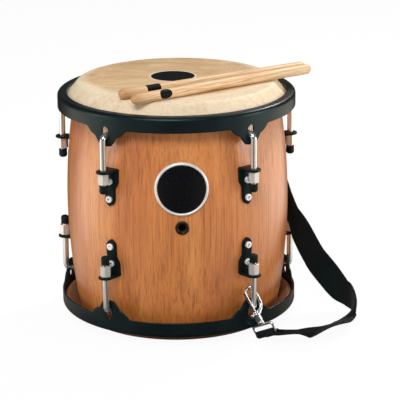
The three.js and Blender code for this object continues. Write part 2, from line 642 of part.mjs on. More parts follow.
// One sewn end: the webbing comes from its cut end, round the bar of the eye and on along its route.
// The face says which way the longer ply looks.
function sewnEnd(eye, next, face) {
  const bar = vec(0, EYE_LOW_BAR, 0).applyMatrix4(eye);
  const across = vec(1, 0, 0).transformDirection(eye);
  if (across.dot(next.across) < 0) across.negate();
  const away = next.at.clone().sub(bar);
  away.addScaledVector(across, -away.dot(across)).normalize();
  const over = across.clone().cross(away);
  if (over.dot(face) < 0) over.negate();
  const wrap = ((EYE_BAR / 2) * Math.SQRT2 + SEAT) / Math.cos(Math.PI / 8) + STRAP_T / 2;
  const ply = (STRAP_T + STRAP_FOLD_GAP) / 2;
  const spot = (along, up) => bar.clone().addScaledVector(away, along).addScaledVector(over, up);
  const bend = [-90, -135, 180, 135, 90].map((degrees) =>
    spot(wrap * Math.cos(rad(degrees)), wrap * Math.sin(rad(degrees))));
  const tail = [spot(STRAP_FOLD, -ply), spot(STRAP_FOLD * 0.65, -ply)];
  const lead = [spot(STRAP_FOLD * 0.65, ply), spot(STRAP_FOLD, ply)];
  return [...tail, ...bend, ...lead].map((at) => ({ at, across }));
}

// A ribbon of webbing through stations: four corners at each, joined along its length
function ribbon(stations) {
  const corners = [];
  stations.forEach(({ at, across }, i) => {
    const before = stations[Math.max(i - 1, 0)].at;
    const after = stations[Math.min(i + 1, stations.length - 1)].at;
    const along = after.clone().sub(before).normalize();
    const wide = across.clone().addScaledVector(along, -across.dot(along)).normalize();
    const thick = along.clone().cross(wide);
    for (const [w, t] of [[-1, -1], [1, -1], [1, 1], [-1, 1]]) {
      corners.push(at.clone().addScaledVector(wide, (w * STRAP_W) / 2).addScaledVector(thick, (t * STRAP_T) / 2));
    }
  });
  const faces = [0, 2, 1, 0, 3, 2];
  for (let i = 0; i < stations.length - 1; i++) {
    for (let side = 0; side < 4; side++) {
      const [a, b] = [4 * i + side, 4 * i + ((side + 1) % 4)];
      faces.push(a, b, b + 4, a, b + 4, a + 4);
    }
  }
  const last = 4 * (stations.length - 1);
  faces.push(last, last + 1, last + 2, last, last + 2, last + 3);
  const geometry = new THREE.BufferGeometry().setFromPoints(corners);
  geometry.setIndex(faces);
  return geometry;
}

function strapGeometry() {
  const start = sewnEnd(LOWER_EYE, STRAP_ROUTE[0], vec(0, 0, 1));
  const end = sewnEnd(UPPER_EYE, STRAP_ROUTE.at(-1), vec(0, 1, 0));
  const free = [start.at(-1), ...STRAP_ROUTE, end.at(-1)];
  const line = new THREE.CatmullRomCurve3(free.map((station) => station.at));
  const turn = new THREE.CatmullRomCurve3(free.map((station) => station.across));
  const spans = 2 * (free.length - 1);
  const stations = start.slice(0, -1);
  for (let i = 0; i <= spans; i++) {
    stations.push({ at: line.getPoint(i / spans), across: turn.getPoint(i / spans) });
  }
  return ribbon([...stations, ...end.slice(0, -1).reverse()]);
}

// Materials

const finish = (color, roughness, metalness) => new THREE.MeshStandardMaterial({ color, roughness, metalness });
const wood = () => finish(0xb5713f, 0.45, 0);
const rawhide = () => finish(0xead6b4, 0.7, 0);
const blackEnamel = () => finish(0x14191b, 0.4, 0.3);
const chrome = () => finish(0xd8dadc, 0.15, 1);
const rubber = () => finish(0x101214, 0.8, 0);
const zinc = () => finish(0xb9babb, 0.3, 1);
const paleWood = () => finish(0xe6bf8a, 0.55, 0);
const webbing = () => finish(0x0c0e0f, 0.85, 0);

function piece(name, geometry, material) {
  const mesh = new THREE.Mesh(geometry, material);
  mesh.name = name;
  return mesh;
}

// Assembly

const tambora = new THREE.Group();
const middle = new THREE.Group();
middle.position.z = MID;
tambora.add(middle);

middle.add(piece('shell', geometryOf(shellSolid()), wood()));
const badgeInner = BADGE_D / 2 - BADGE_RING_W;
middle.add(piece('badge_disc', geometryOf(badgeSolid(badgeInner - SEAT, 0, BADGE_T)), blackEnamel()));
middle.add(piece('badge_ring', geometryOf(badgeSolid(BADGE_D / 2, badgeInner, BADGE_RING_T)), chrome()));
middle.add(piece('vent_grommet', geometryOf(ventSolid()), finish(0x4a3a2c, 0.4, 0.8)));

const rim = geometryOf(rimSolid());
const lug = geometryOf(lugSolid());
for (const [end, turn] of [['top', 0], ['bottom', Math.PI]]) {
  const head = new THREE.Group();
  head.rotation.y = turn;
  middle.add(head);
  head.add(piece(`${end}_skin`, skinGeometry(), rawhide()));
  head.add(piece(`${end}_flesh_hoop`, fleshHoopGeometry(), zinc()));
  head.add(piece(`${end}_rim`, rim.clone(), blackEnamel()));
  for (let i = 0; i < LUG_COUNT; i++) {
    const spoke = new THREE.Group();
    spoke.rotation.z = (turn ? -lugAngle(i) : lugAngle(i)) - Math.PI / 2;
    head.add(spoke);
    spoke.add(piece(`${end}_hook_${i + 1}`, hookGeometry(), chrome()));
    spoke.add(piece(`${end}_nut_${i + 1}`, nutGeometry(), chrome()));
    spoke.add(piece(`${end}_cap_${i + 1}`, capGeometry(), rubber()));
    spoke.add(piece(`${end}_lug_${i + 1}`, lug.clone(), blackEnamel()));
  }
}

tambora.add(piece('stick_1', stickGeometry(STICK_FRONT), paleWood()));
tambora.add(piece('stick_2', stickGeometry(STICK_BACK), paleWood()));

const snapHook = geometryOf(snapHookSolid());
const snapBolt = geometryOf(snapBoltSolid());
const snapEye = geometryOf(snapEyeSolid());
for (const [end, hookFrame, eyeFrame] of [['lower', LOWER_SNAP, LOWER_EYE], ['upper', UPPER_SNAP, UPPER_EYE]]) {
  tambora.add(piece(`${end}_snap_hook`, snapHook.clone().applyMatrix4(hookFrame), zinc()));
  tambora.add(piece(`${end}_snap_bolt`, snapBolt.clone().applyMatrix4(hookFrame), zinc()));
  tambora.add(piece(`${end}_snap_eye`, snapEye.clone().applyMatrix4(eyeFrame), zinc()));
}
tambora.add(piece('strap', strapGeometry(), webbing()));

export default tambora;
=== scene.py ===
# %% [markdown]
# A tambora, piece by piece.
# The drum stands on its lower head. Its measured solids come first, as a fixed frame in metres, and
# each cell after that makes one visible piece in the same place, finer than the solid it stands for.

# %% Load the measured drum
import math
from functools import partial

import bmesh
import bpy
import numpy as np
from mathutils import Matrix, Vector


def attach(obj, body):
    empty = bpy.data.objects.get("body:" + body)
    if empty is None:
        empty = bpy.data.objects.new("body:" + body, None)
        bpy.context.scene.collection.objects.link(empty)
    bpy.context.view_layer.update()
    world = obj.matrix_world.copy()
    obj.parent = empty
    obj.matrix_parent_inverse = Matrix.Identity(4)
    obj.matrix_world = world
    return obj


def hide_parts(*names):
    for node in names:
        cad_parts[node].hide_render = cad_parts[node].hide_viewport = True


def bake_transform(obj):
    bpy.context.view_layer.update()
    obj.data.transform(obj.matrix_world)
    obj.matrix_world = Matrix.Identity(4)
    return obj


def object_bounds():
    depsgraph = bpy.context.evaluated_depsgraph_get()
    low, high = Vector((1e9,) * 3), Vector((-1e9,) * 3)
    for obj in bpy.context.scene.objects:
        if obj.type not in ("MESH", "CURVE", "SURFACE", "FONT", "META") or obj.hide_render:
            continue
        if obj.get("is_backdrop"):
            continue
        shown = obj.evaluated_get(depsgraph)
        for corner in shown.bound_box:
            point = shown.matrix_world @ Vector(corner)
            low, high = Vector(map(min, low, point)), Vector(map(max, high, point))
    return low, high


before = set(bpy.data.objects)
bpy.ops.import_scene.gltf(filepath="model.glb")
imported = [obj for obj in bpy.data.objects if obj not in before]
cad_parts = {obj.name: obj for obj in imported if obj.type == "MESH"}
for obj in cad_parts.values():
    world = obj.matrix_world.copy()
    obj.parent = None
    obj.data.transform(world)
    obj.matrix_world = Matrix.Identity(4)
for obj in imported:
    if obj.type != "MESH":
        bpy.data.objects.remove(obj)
cad_low, cad_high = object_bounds()
print("solids", len(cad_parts), "box", [round(v, 3) for v in (*cad_low, *cad_high)])

# %% [markdown]
# The camera stands where the photographer stood: two and a half metres away, a little above the head,
# with a long lens. Its place, pan, tilt and roll were fitted to the edges of both counterhoops, so
# every piece can be laid over the photograph.

# %% Camera
CAMERA_AT = (-0.0288, -2.5426, 0.9241)
PAN, TILT, ROLL = math.radians(1.331), 0.2944, -0.0085
LENS, SENSOR, VIEW_END = 176.1, 36, 30


def in_scene(name, data):
    """A new object in the scene, at the origin."""
    made = bpy.data.objects.new(name, data)
    bpy.context.scene.collection.objects.link(made)
    return made


aim = Matrix.Rotation(-PAN, 4, "Z") @ Matrix.Rotation(math.pi / 2 - TILT, 4, "X")
camera = in_scene("camera", bpy.data.cameras.new("camera"))
camera.matrix_world = Matrix.Translation(CAMERA_AT) @ aim @ Matrix.Rotation(ROLL, 4, "Z")
camera.data.lens, camera.data.sensor_width, camera.data.sensor_fit = LENS, SENSOR, "HORIZONTAL"
camera.data.clip_end = VIEW_END
bpy.context.scene.camera = camera
print("camera distance", round(float(np.linalg.norm(CAMERA_AT)), 2), "m")

# %% [markdown]
# Most pieces of a drum are turned, bent or pressed, so a few surface makers cover them all. Each takes
# points in millimetres, with the drum's axis as Z, and gives points and quads. As formulas they keep
# every radius and fillet exact and easy to change.

# %% Surface makers
MM = 0.001
TURN = 2 * np.pi


def posed(x, y, z, at=(0, 0, 0)):
    """The 4 x 4 frame with axes x, y and z at a place."""
    matrix = np.eye(4)
    matrix[:3] = np.column_stack([x, y, z, at])
    return matrix


def unit(vectors):
    """The same directions with a length of 1."""
    return vectors / np.linalg.norm(vectors, axis=-1, keepdims=True)


def pairs(first, second):
    """Points of two coordinates, either of which may be one number for all."""
    return np.stack(np.broadcast_arrays(first, second), -1)


def joined(*rows):
    """Rows of points or numbers, one after another."""
    return np.concatenate(rows)


def run_along(points):
    """The length of a line up to each of its points."""
    return joined([0], np.cumsum(np.linalg.norm(np.diff(points, axis=0), axis=1)))


def around(count):
    """Evenly spaced angles of one turn."""
    return np.linspace(0, TURN, count, endpoint=False)


def surface(points, close_rows=False, close_cols=False):
    """A (rows, cols, 3) grid of points as (points, quads), going round where it is closed."""
    rows, cols = points.shape[:2]
    i = np.arange(rows if close_rows else rows - 1)[:, None]
    j = np.arange(cols if close_cols else cols - 1)[None, :]
    i2, j2 = (i + 1) % rows, (j + 1) % cols
    corners = np.broadcast_arrays(i * cols + j, i * cols + j2, i2 * cols + j2, i2 * cols + j)
    return points.reshape(-1, 3), np.stack(corners, -1).reshape(-1, 4)


def arc(centre, radius, start, stop, count):
    """Points centre + radius (cos a, sin a), with a from start to stop in degrees."""
    a = np.radians(np.linspace(start, stop, count))
    return pairs(centre[0] + radius * np.cos(a), centre[1] + radius * np.sin(a))


def round_z(r, z, angle):
    """Rows of points (r cos a, r sin a, z)."""
    return np.stack(np.broadcast_arrays(r * np.cos(angle), r * np.sin(angle), z), -1)


def turned(profile, sides, loop=False):
    """Surface of revolution: each (r, z) of a profile goes round Z."""
    profile = np.asarray(profile, float)
    ring = round_z(profile[:, :1], profile[:, 1:], around(sides))
    return surface(ring, close_rows=loop, close_cols=True)


def bent_tube(path, radius, binormal, sides, closed=False):
    """A round bar whose middle line lies in a plane: p + r (cos a n + sin a b), n = b x tangent.
    An open path has its end points twice, so its ends take their neighbours' tangents."""
    tangent = np.roll(path, -1, 0) - np.roll(path, 1, 0) if closed else np.gradient(path, axis=0)
    if not closed:
        tangent[[0, -1]] = tangent[[1, -2]]
    b = np.broadcast_to(np.asarray(binormal, float), path.shape)
    n = np.cross(b, unit(tangent))
    a = around(sides)[:, None]
    r = np.broadcast_to(radius, (len(path),))[:, None, None]
    ring = path[:, None] + r * (np.cos(a) * n[:, None] + np.sin(a) * b[:, None])
    return surface(ring, close_rows=closed, close_cols=True)


def slab(outline, middle, scale, height):
    """A flat outline in X and Y, scaled about its middle at each of several heights."""
    flat = middle + np.asarray(scale)[:, None, None] * (outline - middle)
    level = np.broadcast_to(np.asarray(height)[:, None, None], (*flat.shape[:2], 1))
    return surface(np.concatenate([flat, level], 2), close_cols=True)


def resampled(points, step):
    """The same line with points at even steps of its length."""
    points = np.asarray(points, float)
    run = run_along(points)
    at = np.linspace(0, run[-1], max(int(run[-1] / step), 2) + 1)
    return np.stack([np.interp(at, run, column) for column in points.T], -1)


def placed(part, *frames):
    """A part moved by one frame after another."""
    points, quads = part
    for matrix in frames:
        points = points @ matrix[:3, :3].T + matrix[:3, 3]
    return points, quads


print("a ring of 8 by 8 has", len(turned(arc((2, 0), 1, 0, 315, 8), 8, loop=True)[1]), "quads")

# %% [markdown]
# A piece is one mesh with one finish. Its double points are merged, its faces are turned outwards and
# its sharp edges stay crisp. It rides on the body that carries it and hides the solid it stands for.

# %% Pieces
WELD, SLIVER, CRISP = 2e-6, 1e-7, 38


def piece(name, parts, finish, body, nodes=(), sharp=CRISP, uv=None):
    """Joins parts into one object at the origin, welded, smooth and riding on a body."""
    starts = np.cumsum([0] + [len(points) for points, _ in parts[:-1]])
    points = np.concatenate([p for p, _ in parts]) * MM
    quads = np.concatenate([q + s for (_, q), s in zip(parts, starts)])
    mesh = bpy.data.meshes.new(name)
    mesh.from_pydata(points.tolist(), [], quads.tolist())
    if uv is not None:
        corner = np.empty(len(mesh.loops), int)
        mesh.loops.foreach_get("vertex_index", corner)
        mesh.uv_layers.new(name="lay").data.foreach_set("uv", np.asarray(uv, float)[corner].ravel())
    work = bmesh.new()
    work.from_mesh(mesh)
    bmesh.ops.remove_doubles(work, verts=work.verts, dist=WELD)
    bmesh.ops.dissolve_degenerate(work, edges=work.edges, dist=SLIVER)
    bmesh.ops.recalc_face_normals(work, faces=work.faces)
    work.to_mesh(mesh)
    work.free()
    mesh.shade_smooth()
    mesh.set_sharp_from_angle(angle=math.radians(sharp))
    mesh.materials.append(finish)
    made = in_scene(name, mesh)
    if body:
        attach(made, body)
    if nodes:
        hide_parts(*nodes)
    return made


def cut(made, parts):
    """Takes closed parts out of a piece with a boolean, and keeps the result as the piece's mesh."""
    cutter = piece("cutter", parts, made.data.materials[0], None)
    step = made.modifiers.new("cut", "BOOLEAN")
    step.object, step.operation, step.solver = cutter, "DIFFERENCE", "EXACT"
    seen = made.evaluated_get(bpy.context.evaluated_depsgraph_get())
    mesh = bpy.data.meshes.new_from_object(seen)
    made.modifiers.clear()
    made.data = mesh
    mesh.set_sharp_from_angle(angle=math.radians(CRISP))
    bpy.data.objects.remove(cutter)


def triangles(made):
    """How many triangles a piece's mesh has."""
    return sum(len(p.vertices) - 2 for p in made.data.polygons)


print("points closer than", WELD * 1e6, "micrometres are merged")

# %% [markdown]
# Finishes are node trees on Object coordinates, so the grain stays put when a piece moves. These
# helpers keep each finish readable as a list of what one would see under a loupe.

# %% Node helpers
WHITE = (1.0, 1.0, 1.0)


def new_finish(name):
    """An empty material and its tree."""
    material = bpy.data.materials.new(name)
    material.use_nodes = True
    material.node_tree.nodes.clear()
    return material, material.node_tree


def put(kind, inputs, tree=None, **settings):
    """Adds a node to a tree, or to that of its inputs; sockets are linked, and other inputs are set."""
    wired = {key: value for key, value in inputs.items() if isinstance(value, bpy.types.NodeSocket)}
    tree = tree or next(iter(wired.values())).id_data
    node = tree.nodes.new("ShaderNode" + kind)
    for key, value in settings.items():
        setattr(node, key, value)
    for key, value in inputs.items():
        if key in wired:
            tree.links.new(value, node.inputs[key])
        else:
            node.inputs[key].default_value = value
    return node


def graded(value, stops):
    """A colour ramp through (place, colour) stops; a plain number is a grey."""
    ramp = put("ValToRGB", {"Fac": value})
    marks = ramp.color_ramp.elements
    while len(marks) < len(stops):
        marks.new(0.5)
    for mark, (place, colour) in zip(marks, stops):
        mark.position = place
        mark.color = (*colour, 1) if isinstance(colour, tuple) else (colour, colour, colour, 1)
    return ramp.outputs["Color"]


def mixed(share, first, second, how="MIX"):
    """Two colours mixed by a share."""
    first, second = ((*c, 1) if isinstance(c, tuple) else c for c in (first, second))
    node = put("Mix", {0: share, 6: first, 7: second}, data_type="RGBA", blend_type=how)
    return node.outputs[2]


def math_node(how, *values):
    """One arithmetic node on sockets or numbers."""
    return put("Math", dict(enumerate(values)), operation=how).outputs[0]


plus, minus, times, divided, raised, absolute, sine, times_plus = (
    partial(math_node, how) for how in
    ("ADD", "SUBTRACT", "MULTIPLY", "DIVIDE", "POWER", "ABSOLUTE", "SINE", "MULTIPLY_ADD"))


def coords(tree, kind="Object"):
    """The piece's own coordinates, or its UV map."""
    return put("TexCoord", {}, tree).outputs[kind]


def parted(vector):
    """The X, Y and Z of a vector."""
    return put("SeparateXYZ", {"Vector": vector}).outputs


def distance(vector, point):
    """How far a vector is from a point."""
    return put("VectorMath", {0: vector, 1: point}, operation="DISTANCE").outputs["Value"]


def stretched(tree, scale, kind="Object", turn=(0, 0, 0)):
    """Coordinates of the piece, scaled along each axis and turned."""
    return put("Mapping", {"Vector": coords(tree, kind), "Scale": scale, "Rotation": turn}).outputs[0]


def noise(tree, scale, detail, rough, twist=0.0, stretch=(1, 1, 1), kind="Object", turn=(0, 0, 0)):
    """Fractal noise, 0 to 1, on stretched coordinates."""
    inputs = {"Scale": scale, "Detail": detail, "Roughness": rough, "Distortion": twist}
    inputs["Vector"] = stretched(tree, stretch, kind, turn)
    return put("TexNoise", inputs).outputs["Fac"]


def shaded(colour, rough, more, height, depth, strength):
    """The surface itself, with a bump whose height is in shares of a depth in metres."""
    bump = put("Bump", {"Height": height, "Distance": depth, "Strength": strength})
    inputs = {"Base Color": colour, "Roughness": rough, "Normal": bump.outputs[0], **more}
    put("OutputMaterial", {"Surface": put("BsdfPrincipled", inputs).outputs[0]})


def tell(*finishes):
    """Prints the size of finishes."""
    print({finish.name: len(finish.node_tree.nodes) for finish in finishes}, "nodes")


print("node helpers ready")

# %% [markdown]
# The shell is staved hardwood under a satin lacquer: an orange-brown ground with long fibres up the
# drum, darker bands a few centimetres wide, and short dark pores. Noise squeezed along Z gives all
# three at their own scales, and the pores dent the clear coat a little.

# %% Lacquered wood


def lacquered_wood():
    """A ground coloured by bands, times streaks of fibre, with dark pores, under a clear coat."""
    material, tree = new_finish("lacquered_wood")
    bands = noise(tree, 26, 3, 0.5, 0.35, (1, 1, 0.07))
    fibres = noise(tree, 360, 4, 0.65, stretch=(1, 1, 0.018))
    flecks = noise(tree, 800, 2, 0.5, stretch=(1, 1, 0.06))
    ground = graded(bands, [(0.3, (0.46, 0.130, 0.027)), (0.5, (0.57, 0.190, 0.041)),
                            (0.7, (0.64, 0.245, 0.062))])
    streaks = graded(fibres, [(0.3, (0.56, 0.45, 0.38)), (0.5, WHITE), (0.75, (1.2, 1.18, 1.14))])
    colour = mixed(0.85, ground, streaks, "MULTIPLY")
    pores = graded(flecks, [(0.54, 0.0), (0.70, 1.0)])
    colour = mixed(times(pores, 0.5), colour, (0.26, 0.072, 0.022))
    rough = graded(fibres, [(0.2, 0.5), (0.8, 0.4)])
    height = minus(times(fibres, 0.35), pores)
    coat = {"Coat Weight": 0.9, "Coat Roughness": 0.28, "Specular IOR Level": 0.45}
    shaded(colour, rough, coat, height, 0.00012, 0.35)
    return material


LACQUERED_WOOD = lacquered_wood()
tell(LACQUERED_WOOD)

# %% [markdown]
# The counterhoops and lugs are steel under black powder enamel. It looks blue-black because it mirrors
# the room softly, through a fine orange-peel skin. The lugs are duller than the counterhoops.

# %% Black enamel
COOL = (0.62, 0.95, 1.0, 1)


def grained(name, size, colours, roughs, more, depth, strength, skin=None):
    """Colour and roughness follow one noise, and the bump follows it too, or a finer skin."""
    material, tree = new_finish(name)
    grain = noise(tree, *size)
    height = noise(tree, *skin) if skin else grain
    shaded(graded(grain, colours), graded(grain, roughs), more, height, depth, strength)
    return material


def black_enamel(name, shine):
    """Near-black clouds under a fine peel; shine is the level of the soft mirror."""
    colours = [(0.3, (0.0030, 0.0065, 0.0080)), (0.7, (0.0055, 0.0100, 0.0120))]
    return grained(name, (30, 4, 0.6), colours, [(0.3, 0.30), (0.7, 0.42)],
                   {"Specular IOR Level": shine, "Specular Tint": COOL}, 0.00006, 0.25, (900, 2, 0.5))


BLACK_ENAMEL = black_enamel("black_enamel", 0.28)
LUG_ENAMEL = black_enamel("lug_enamel", 0.12)
tell(BLACK_ENAMEL, LUG_ENAMEL)

# %% [markdown]
# Plated metal comes in four looks. The hooks are polished, with faint drawing lines. The nuts and
# flesh hoops are satin and brushed. The bolt heads and the badge's ring are bright and a little milky,
# and the snaps have the even skin of tumbled castings.

# %% Plated metals
DRAWN, BRUSHED, EVEN = (1, 1, 0.03), (1, 1, 0.05), (1, 1, 1)


def plated(name, tint, rough, brushed, lines, depth, metallic):
    """A hazy tint with a grain that runs along the lines and adds its share to the roughness."""
    material, tree = new_finish(name)
    grain = noise(tree, 700, 3, 0.6, stretch=lines)
    haze = noise(tree, 60, 4, 0.6)
    colour = graded(haze, [(0.3, tuple(0.88 * c for c in tint)), (0.7, tint)])
    roughness = plus(rough, times(plus(grain, haze), brushed))
    shaded(colour, roughness, {"Metallic": metallic}, grain, depth, 0.3)
    return material


POLISHED_PLATE = plated("polished_plate", (0.86, 0.87, 0.89), 0.08, 0.07, DRAWN, 0.00002, 0.9)
SATIN_PLATE = plated("satin_plate", (0.74, 0.73, 0.72), 0.22, 0.14, BRUSHED, 0.00003, 0.65)
BRIGHT_PLATE = plated("bright_plate", (0.94, 0.93, 0.92), 0.3, 0.12, EVEN, 0.00003, 0.5)
SNAP_PLATE = plated("snap_plate", (0.74, 0.74, 0.75), 0.14, 0.14, EVEN, 0.00004, 1.0)
tell(POLISHED_PLATE, SATIN_PLATE, BRIGHT_PLATE, SNAP_PLATE)

# %% [markdown]
# The caps are dull moulded rubber. The vent's grommet is brass gone dark brown, bright where fingers
# rub it. The badge's face stays bare: smooth black enamel with a fine grain. One noise each will do.

# %% Rubber, brass and badge
CAP_RUBBER = grained("cap_rubber", (1400, 3, 0.6),
                     [(0.3, (0.0025, 0.0040, 0.0045)), (0.7, (0.0055, 0.0080, 0.0090))],
                     [(0.3, 0.55), (0.7, 0.72)],
                     {"Specular IOR Level": 0.25, "Specular Tint": COOL}, 0.00008, 0.35)
DARK_BRASS = grained("dark_brass", (320, 4, 0.6),
                     [(0.35, (0.016, 0.011, 0.008)), (0.62, (0.05, 0.033, 0.022)),
                      (0.8, (0.16, 0.10, 0.06))],
                     [(0.3, 0.5), (0.8, 0.28)], {"Metallic": 0.75}, 0.00005, 0.3)
BADGE_ENAMEL = grained("badge_enamel", (500, 3, 0.5),
                       [(0.3, (0.0025, 0.0028, 0.004)), (0.7, (0.005, 0.0055, 0.007))],
                       [(0.3, 0.22), (0.7, 0.32)], {"Specular IOR Level": 0.2}, 0.00003, 0.2)
tell(CAP_RUBBER, DARK_BRASS, BADGE_ENAMEL)

# %% [markdown]
# Sizes that several pieces share, in millimetres. Heights of an end count from the drum's middle,
# because the lower end is the upper one turned over. The parts at a lug are built once, in a frame that
# looks outwards, and set at five angles of both ends.

# %% Shared sizes
HEIGHT, MID = 322.0, 161.0
SHELL_WAIST, SHELL_FALL, SHELL_WALL = 149.0, 14.3, 9.0
EDGE_R, EDGE_Z, EDGE_ROUND = 127.2, 152.0, 7.5
SKIN_THICK, HOOP_R, HOOP_Z = 1.2, 151.8, 141.0
RIM_R, RIM_THICK, FLANGE_TOP, BAND_EDGE = 158.9, 2.5, 147.8, 127.4
EAR_TIP, SLOT_LOW, SLOT_WIDE, SLOT_HIGH = 104.2, 113.9, 9.6, 16.5
ROD_CIRCLE, ROD_RADIUS, TAIL_Z, ROD_END = 163.9, 4.0, 118.2, 44.65
SHELF_TOP, NUT_LOW, NUT_TOP, CAP_TOP, CAP_END = 72.8, 55.0, 69.5, 53.45, 41.95
LUG_ANGLES = np.radians(36 + 72 * np.arange(5))
FRONT = np.radians(1.4)
ENDS = (("top", 1), ("bottom", -1))


def shell_radius(z):
    """Barrel: the radius falls from the waist with the square of the height."""
    return SHELL_WAIST - SHELL_FALL * (z / EDGE_Z) ** 2


def spoke(angle, end=1):
    """Frame at a lug: X outwards, Y along the rim, Z towards that end, with its zero at the middle."""
    out = (math.sin(angle), -math.cos(angle), 0)
    along = (end * math.cos(angle), end * math.sin(angle), 0)
    return posed(out, along, (0, 0, end), (0, 0, MID))


def end_frame(end):
    """Frame of a head: the upper one as it is, the lower one turned half round about Y."""
    return posed((end, 0, 0), (0, 1, 0), (0, 0, end), (0, 0, MID))


def facing_out(at=(0, 0, 0)):
    """Frame of a turned part whose axis points outwards, along X."""
    return posed((0, 0, -1), (0, 1, 0), (1, 0, 0), at)


def each_lug():
    """The end's name, the number and the frame of every lug."""
    return [(label, k, spoke(angle, end)) for label, end in ENDS for k, angle in enumerate(LUG_ANGLES, 1)]


print("waist", shell_radius(0), "end", shell_radius(EDGE_Z), "lugs", len(each_lug()))

# %% [markdown]
# The shell is a turned barrel with rounded bearing edges. One revolved profile gives it, and a boolean
# bores the vent, so that one looks into the dark drum there.

# %% Shell
VENT_BORE, BORE_FROM, BORE_TO = 6.4, 120, 170


def shell_profile():
    """Lower edge, outside, upper edge and inside, as one loop of (r, z)."""
    z = np.linspace(-EDGE_Z, EDGE_Z, 65)
    outside = pairs(shell_radius(z), z)
    edge = arc((EDGE_R, EDGE_Z), EDGE_ROUND, 0, 90, 9)[1:]
    inside = pairs(shell_radius(z) - SHELL_WALL, z)[::-1]
    return joined(edge[::-1] * (1, -1), outside, edge, inside)


shell = piece("barrel_shell", [placed(turned(shell_profile(), 240, loop=True), end_frame(1))],
              LACQUERED_WOOD, "drum", ["shell"], sharp=60)
bore = turned([(0, BORE_FROM), (VENT_BORE, BORE_FROM), (VENT_BORE, BORE_TO), (0, BORE_TO)], 40)
cut(shell, [placed(bore, facing_out(), spoke(FRONT))])
print("shell triangles", triangles(shell))

# %% [markdown]
# Rawhide is cream, with a tan of painted shade over its flat middle: a distance from one point with a
# ragged edge, and the painted shade deepens towards the back. Veins, clouds and speckles are
# noises of three sizes, and the print on the upper head is a plain black disc.

# %% Rawhide
PAINTED_SHADE_AT, PRINT_AT = (-0.004, 0.018, 0), (-0.0044, 0.018, 0.322)


def ragged(value, wobble, reach):
    """A value moved up and down by a noise, by half a reach at most."""
    return plus(value, times(minus(wobble, 0.5), reach))


def rawhide(name, collar_light, collar_dark, printed):
    """A skin with painted shade over its middle; printed is the radius of a plain black disc on it, in
    metres, or 0.
    """
    material, tree = new_finish(name)
    cloud = noise(tree, 9, 5, 0.6, 0.6)
    veins = noise(tree, 24, 6, 0.62, 0.8, (1, 3.2, 1), turn=(0, 0, 0.35))
    speckle = noise(tree, 220, 4, 0.7)
    fine = noise(tree, 700, 4, 0.6)
    # Painted shade: the flat middle is coloured tan, deeper towards the back, against the cream collar.
    reach = ragged(distance(stretched(tree, (1, 1, 0)), PAINTED_SHADE_AT), cloud, 0.022)
    painted_shade = graded(times(reach, 5.0), [(0.55, 1.0), (0.625, 0.0)])
    cream = graded(veins, [(0.25, collar_dark), (0.55, collar_light)])
    painted_shade_depth = times_plus(parted(coords(tree))["Y"], -1.8, plus(veins, 0.14))
    tan = graded(painted_shade_depth, [(0.25, (0.46, 0.295, 0.148)), (0.5, (0.555, 0.375, 0.205)),
                        (0.7, (0.68, 0.485, 0.285)), (0.95, (0.74, 0.55, 0.34))])
    colour = mixed(painted_shade, cream, tan)
    patches = graded(cloud, [(0.3, (0.8, 0.72, 0.6)), (0.7, WHITE)])
    colour = mixed(0.25, colour, patches, "MULTIPLY")
    specks = graded(speckle, [(0.36, (0.86, 0.77, 0.67)), (0.54, WHITE)])
    colour = mixed(0.6, colour, specks, "MULTIPLY")
    shine = 0.35
    if printed:
        spread = divided(distance(coords(tree), PRINT_AT), 2 * printed)
        spread = ragged(spread, fine, 0.012)
        halo = graded(spread, [(0.525, 0.6), (0.55, 0.0)])
        colour = mixed(halo, colour, (0.86, 0.76, 0.6))
        ink = graded(spread, [(0.495, 1.0), (0.505, 0.0)])
        colour = mixed(ink, colour, (0.006, 0.007, 0.008))
        shine = graded(ink, [(0.0, 0.35), (1.0, 0.05)])
    rough = graded(fine, [(0.3, 0.52), (0.7, 0.7)])
    height = plus(fine, times(veins, 1.5))
    flesh = {"Subsurface Weight": 0.06, "Subsurface Radius": (0.004, 0.002, 0.001),
             "Specular IOR Level": shine}
    shaded(colour, rough, flesh, height, 0.00015, 0.3)
    return material


TOP_RAWHIDE = rawhide("top_rawhide", (0.80, 0.675, 0.49), (0.72, 0.57, 0.40), 0.0295)
BOTTOM_RAWHIDE = rawhide("bottom_rawhide", (0.29, 0.14, 0.068), (0.20, 0.09, 0.042), 0)
tell(TOP_RAWHIDE, BOTTOM_RAWHIDE)

# %% [markdown]
# A head is a rawhide disc, bent over the bearing edge and tucked round a steel flesh hoop: two arcs
# joined by the line that touches both.

# %% Heads
OVER, TUCK, TUCK_TURN = EDGE_ROUND + 0.3 + SKIN_THICK, 2.8, 280


def skin_profile():
    """Flat top, arc over the edge, the line that touches both arcs, and a roll round the hoop."""
    edge, hoop = np.array([EDGE_R, EDGE_Z]), np.array([HOOP_R, HOOP_Z])
    way, rise = hoop - edge
    lean = math.degrees(math.atan2(rise, way) + math.acos((OVER + TUCK) / math.hypot(way, rise)))
    flat = pairs(np.linspace(0, EDGE_R, 40)[:-1], MID)
    bend = arc(edge, OVER, 90, lean, 14)
    roll = arc(hoop, TUCK, lean + 180, lean + 180 + TUCK_TURN, 24)
    line = bend[-1] + (roll[0] - bend[-1]) * np.linspace(0, 1, 10)[1:-1, None]
    roll_in = arc(hoop, TUCK + SKIN_THICK, lean + 180 + TUCK_TURN, lean + 180, 24)
    bend_in = arc(edge, OVER - SKIN_THICK, lean, 90, 14)
    return joined(flat, bend, line, roll, roll_in, bend_in, [[0, MID - SKIN_THICK]])


for (label, end), skin in zip(ENDS, (TOP_RAWHIDE, BOTTOM_RAWHIDE)):
    head = piece(f"{label}_rawhide", [placed(turned(skin_profile(), 200), end_frame(end))], skin, None,
                 [f"{label}_skin"], sharp=70)
    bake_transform(head)
    hoop_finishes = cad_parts[f"{label}_flesh_hoop"].data.materials
    hoop_finishes.clear()
    hoop_finishes.append(SATIN_PLATE)
print("head triangles", triangles(head))

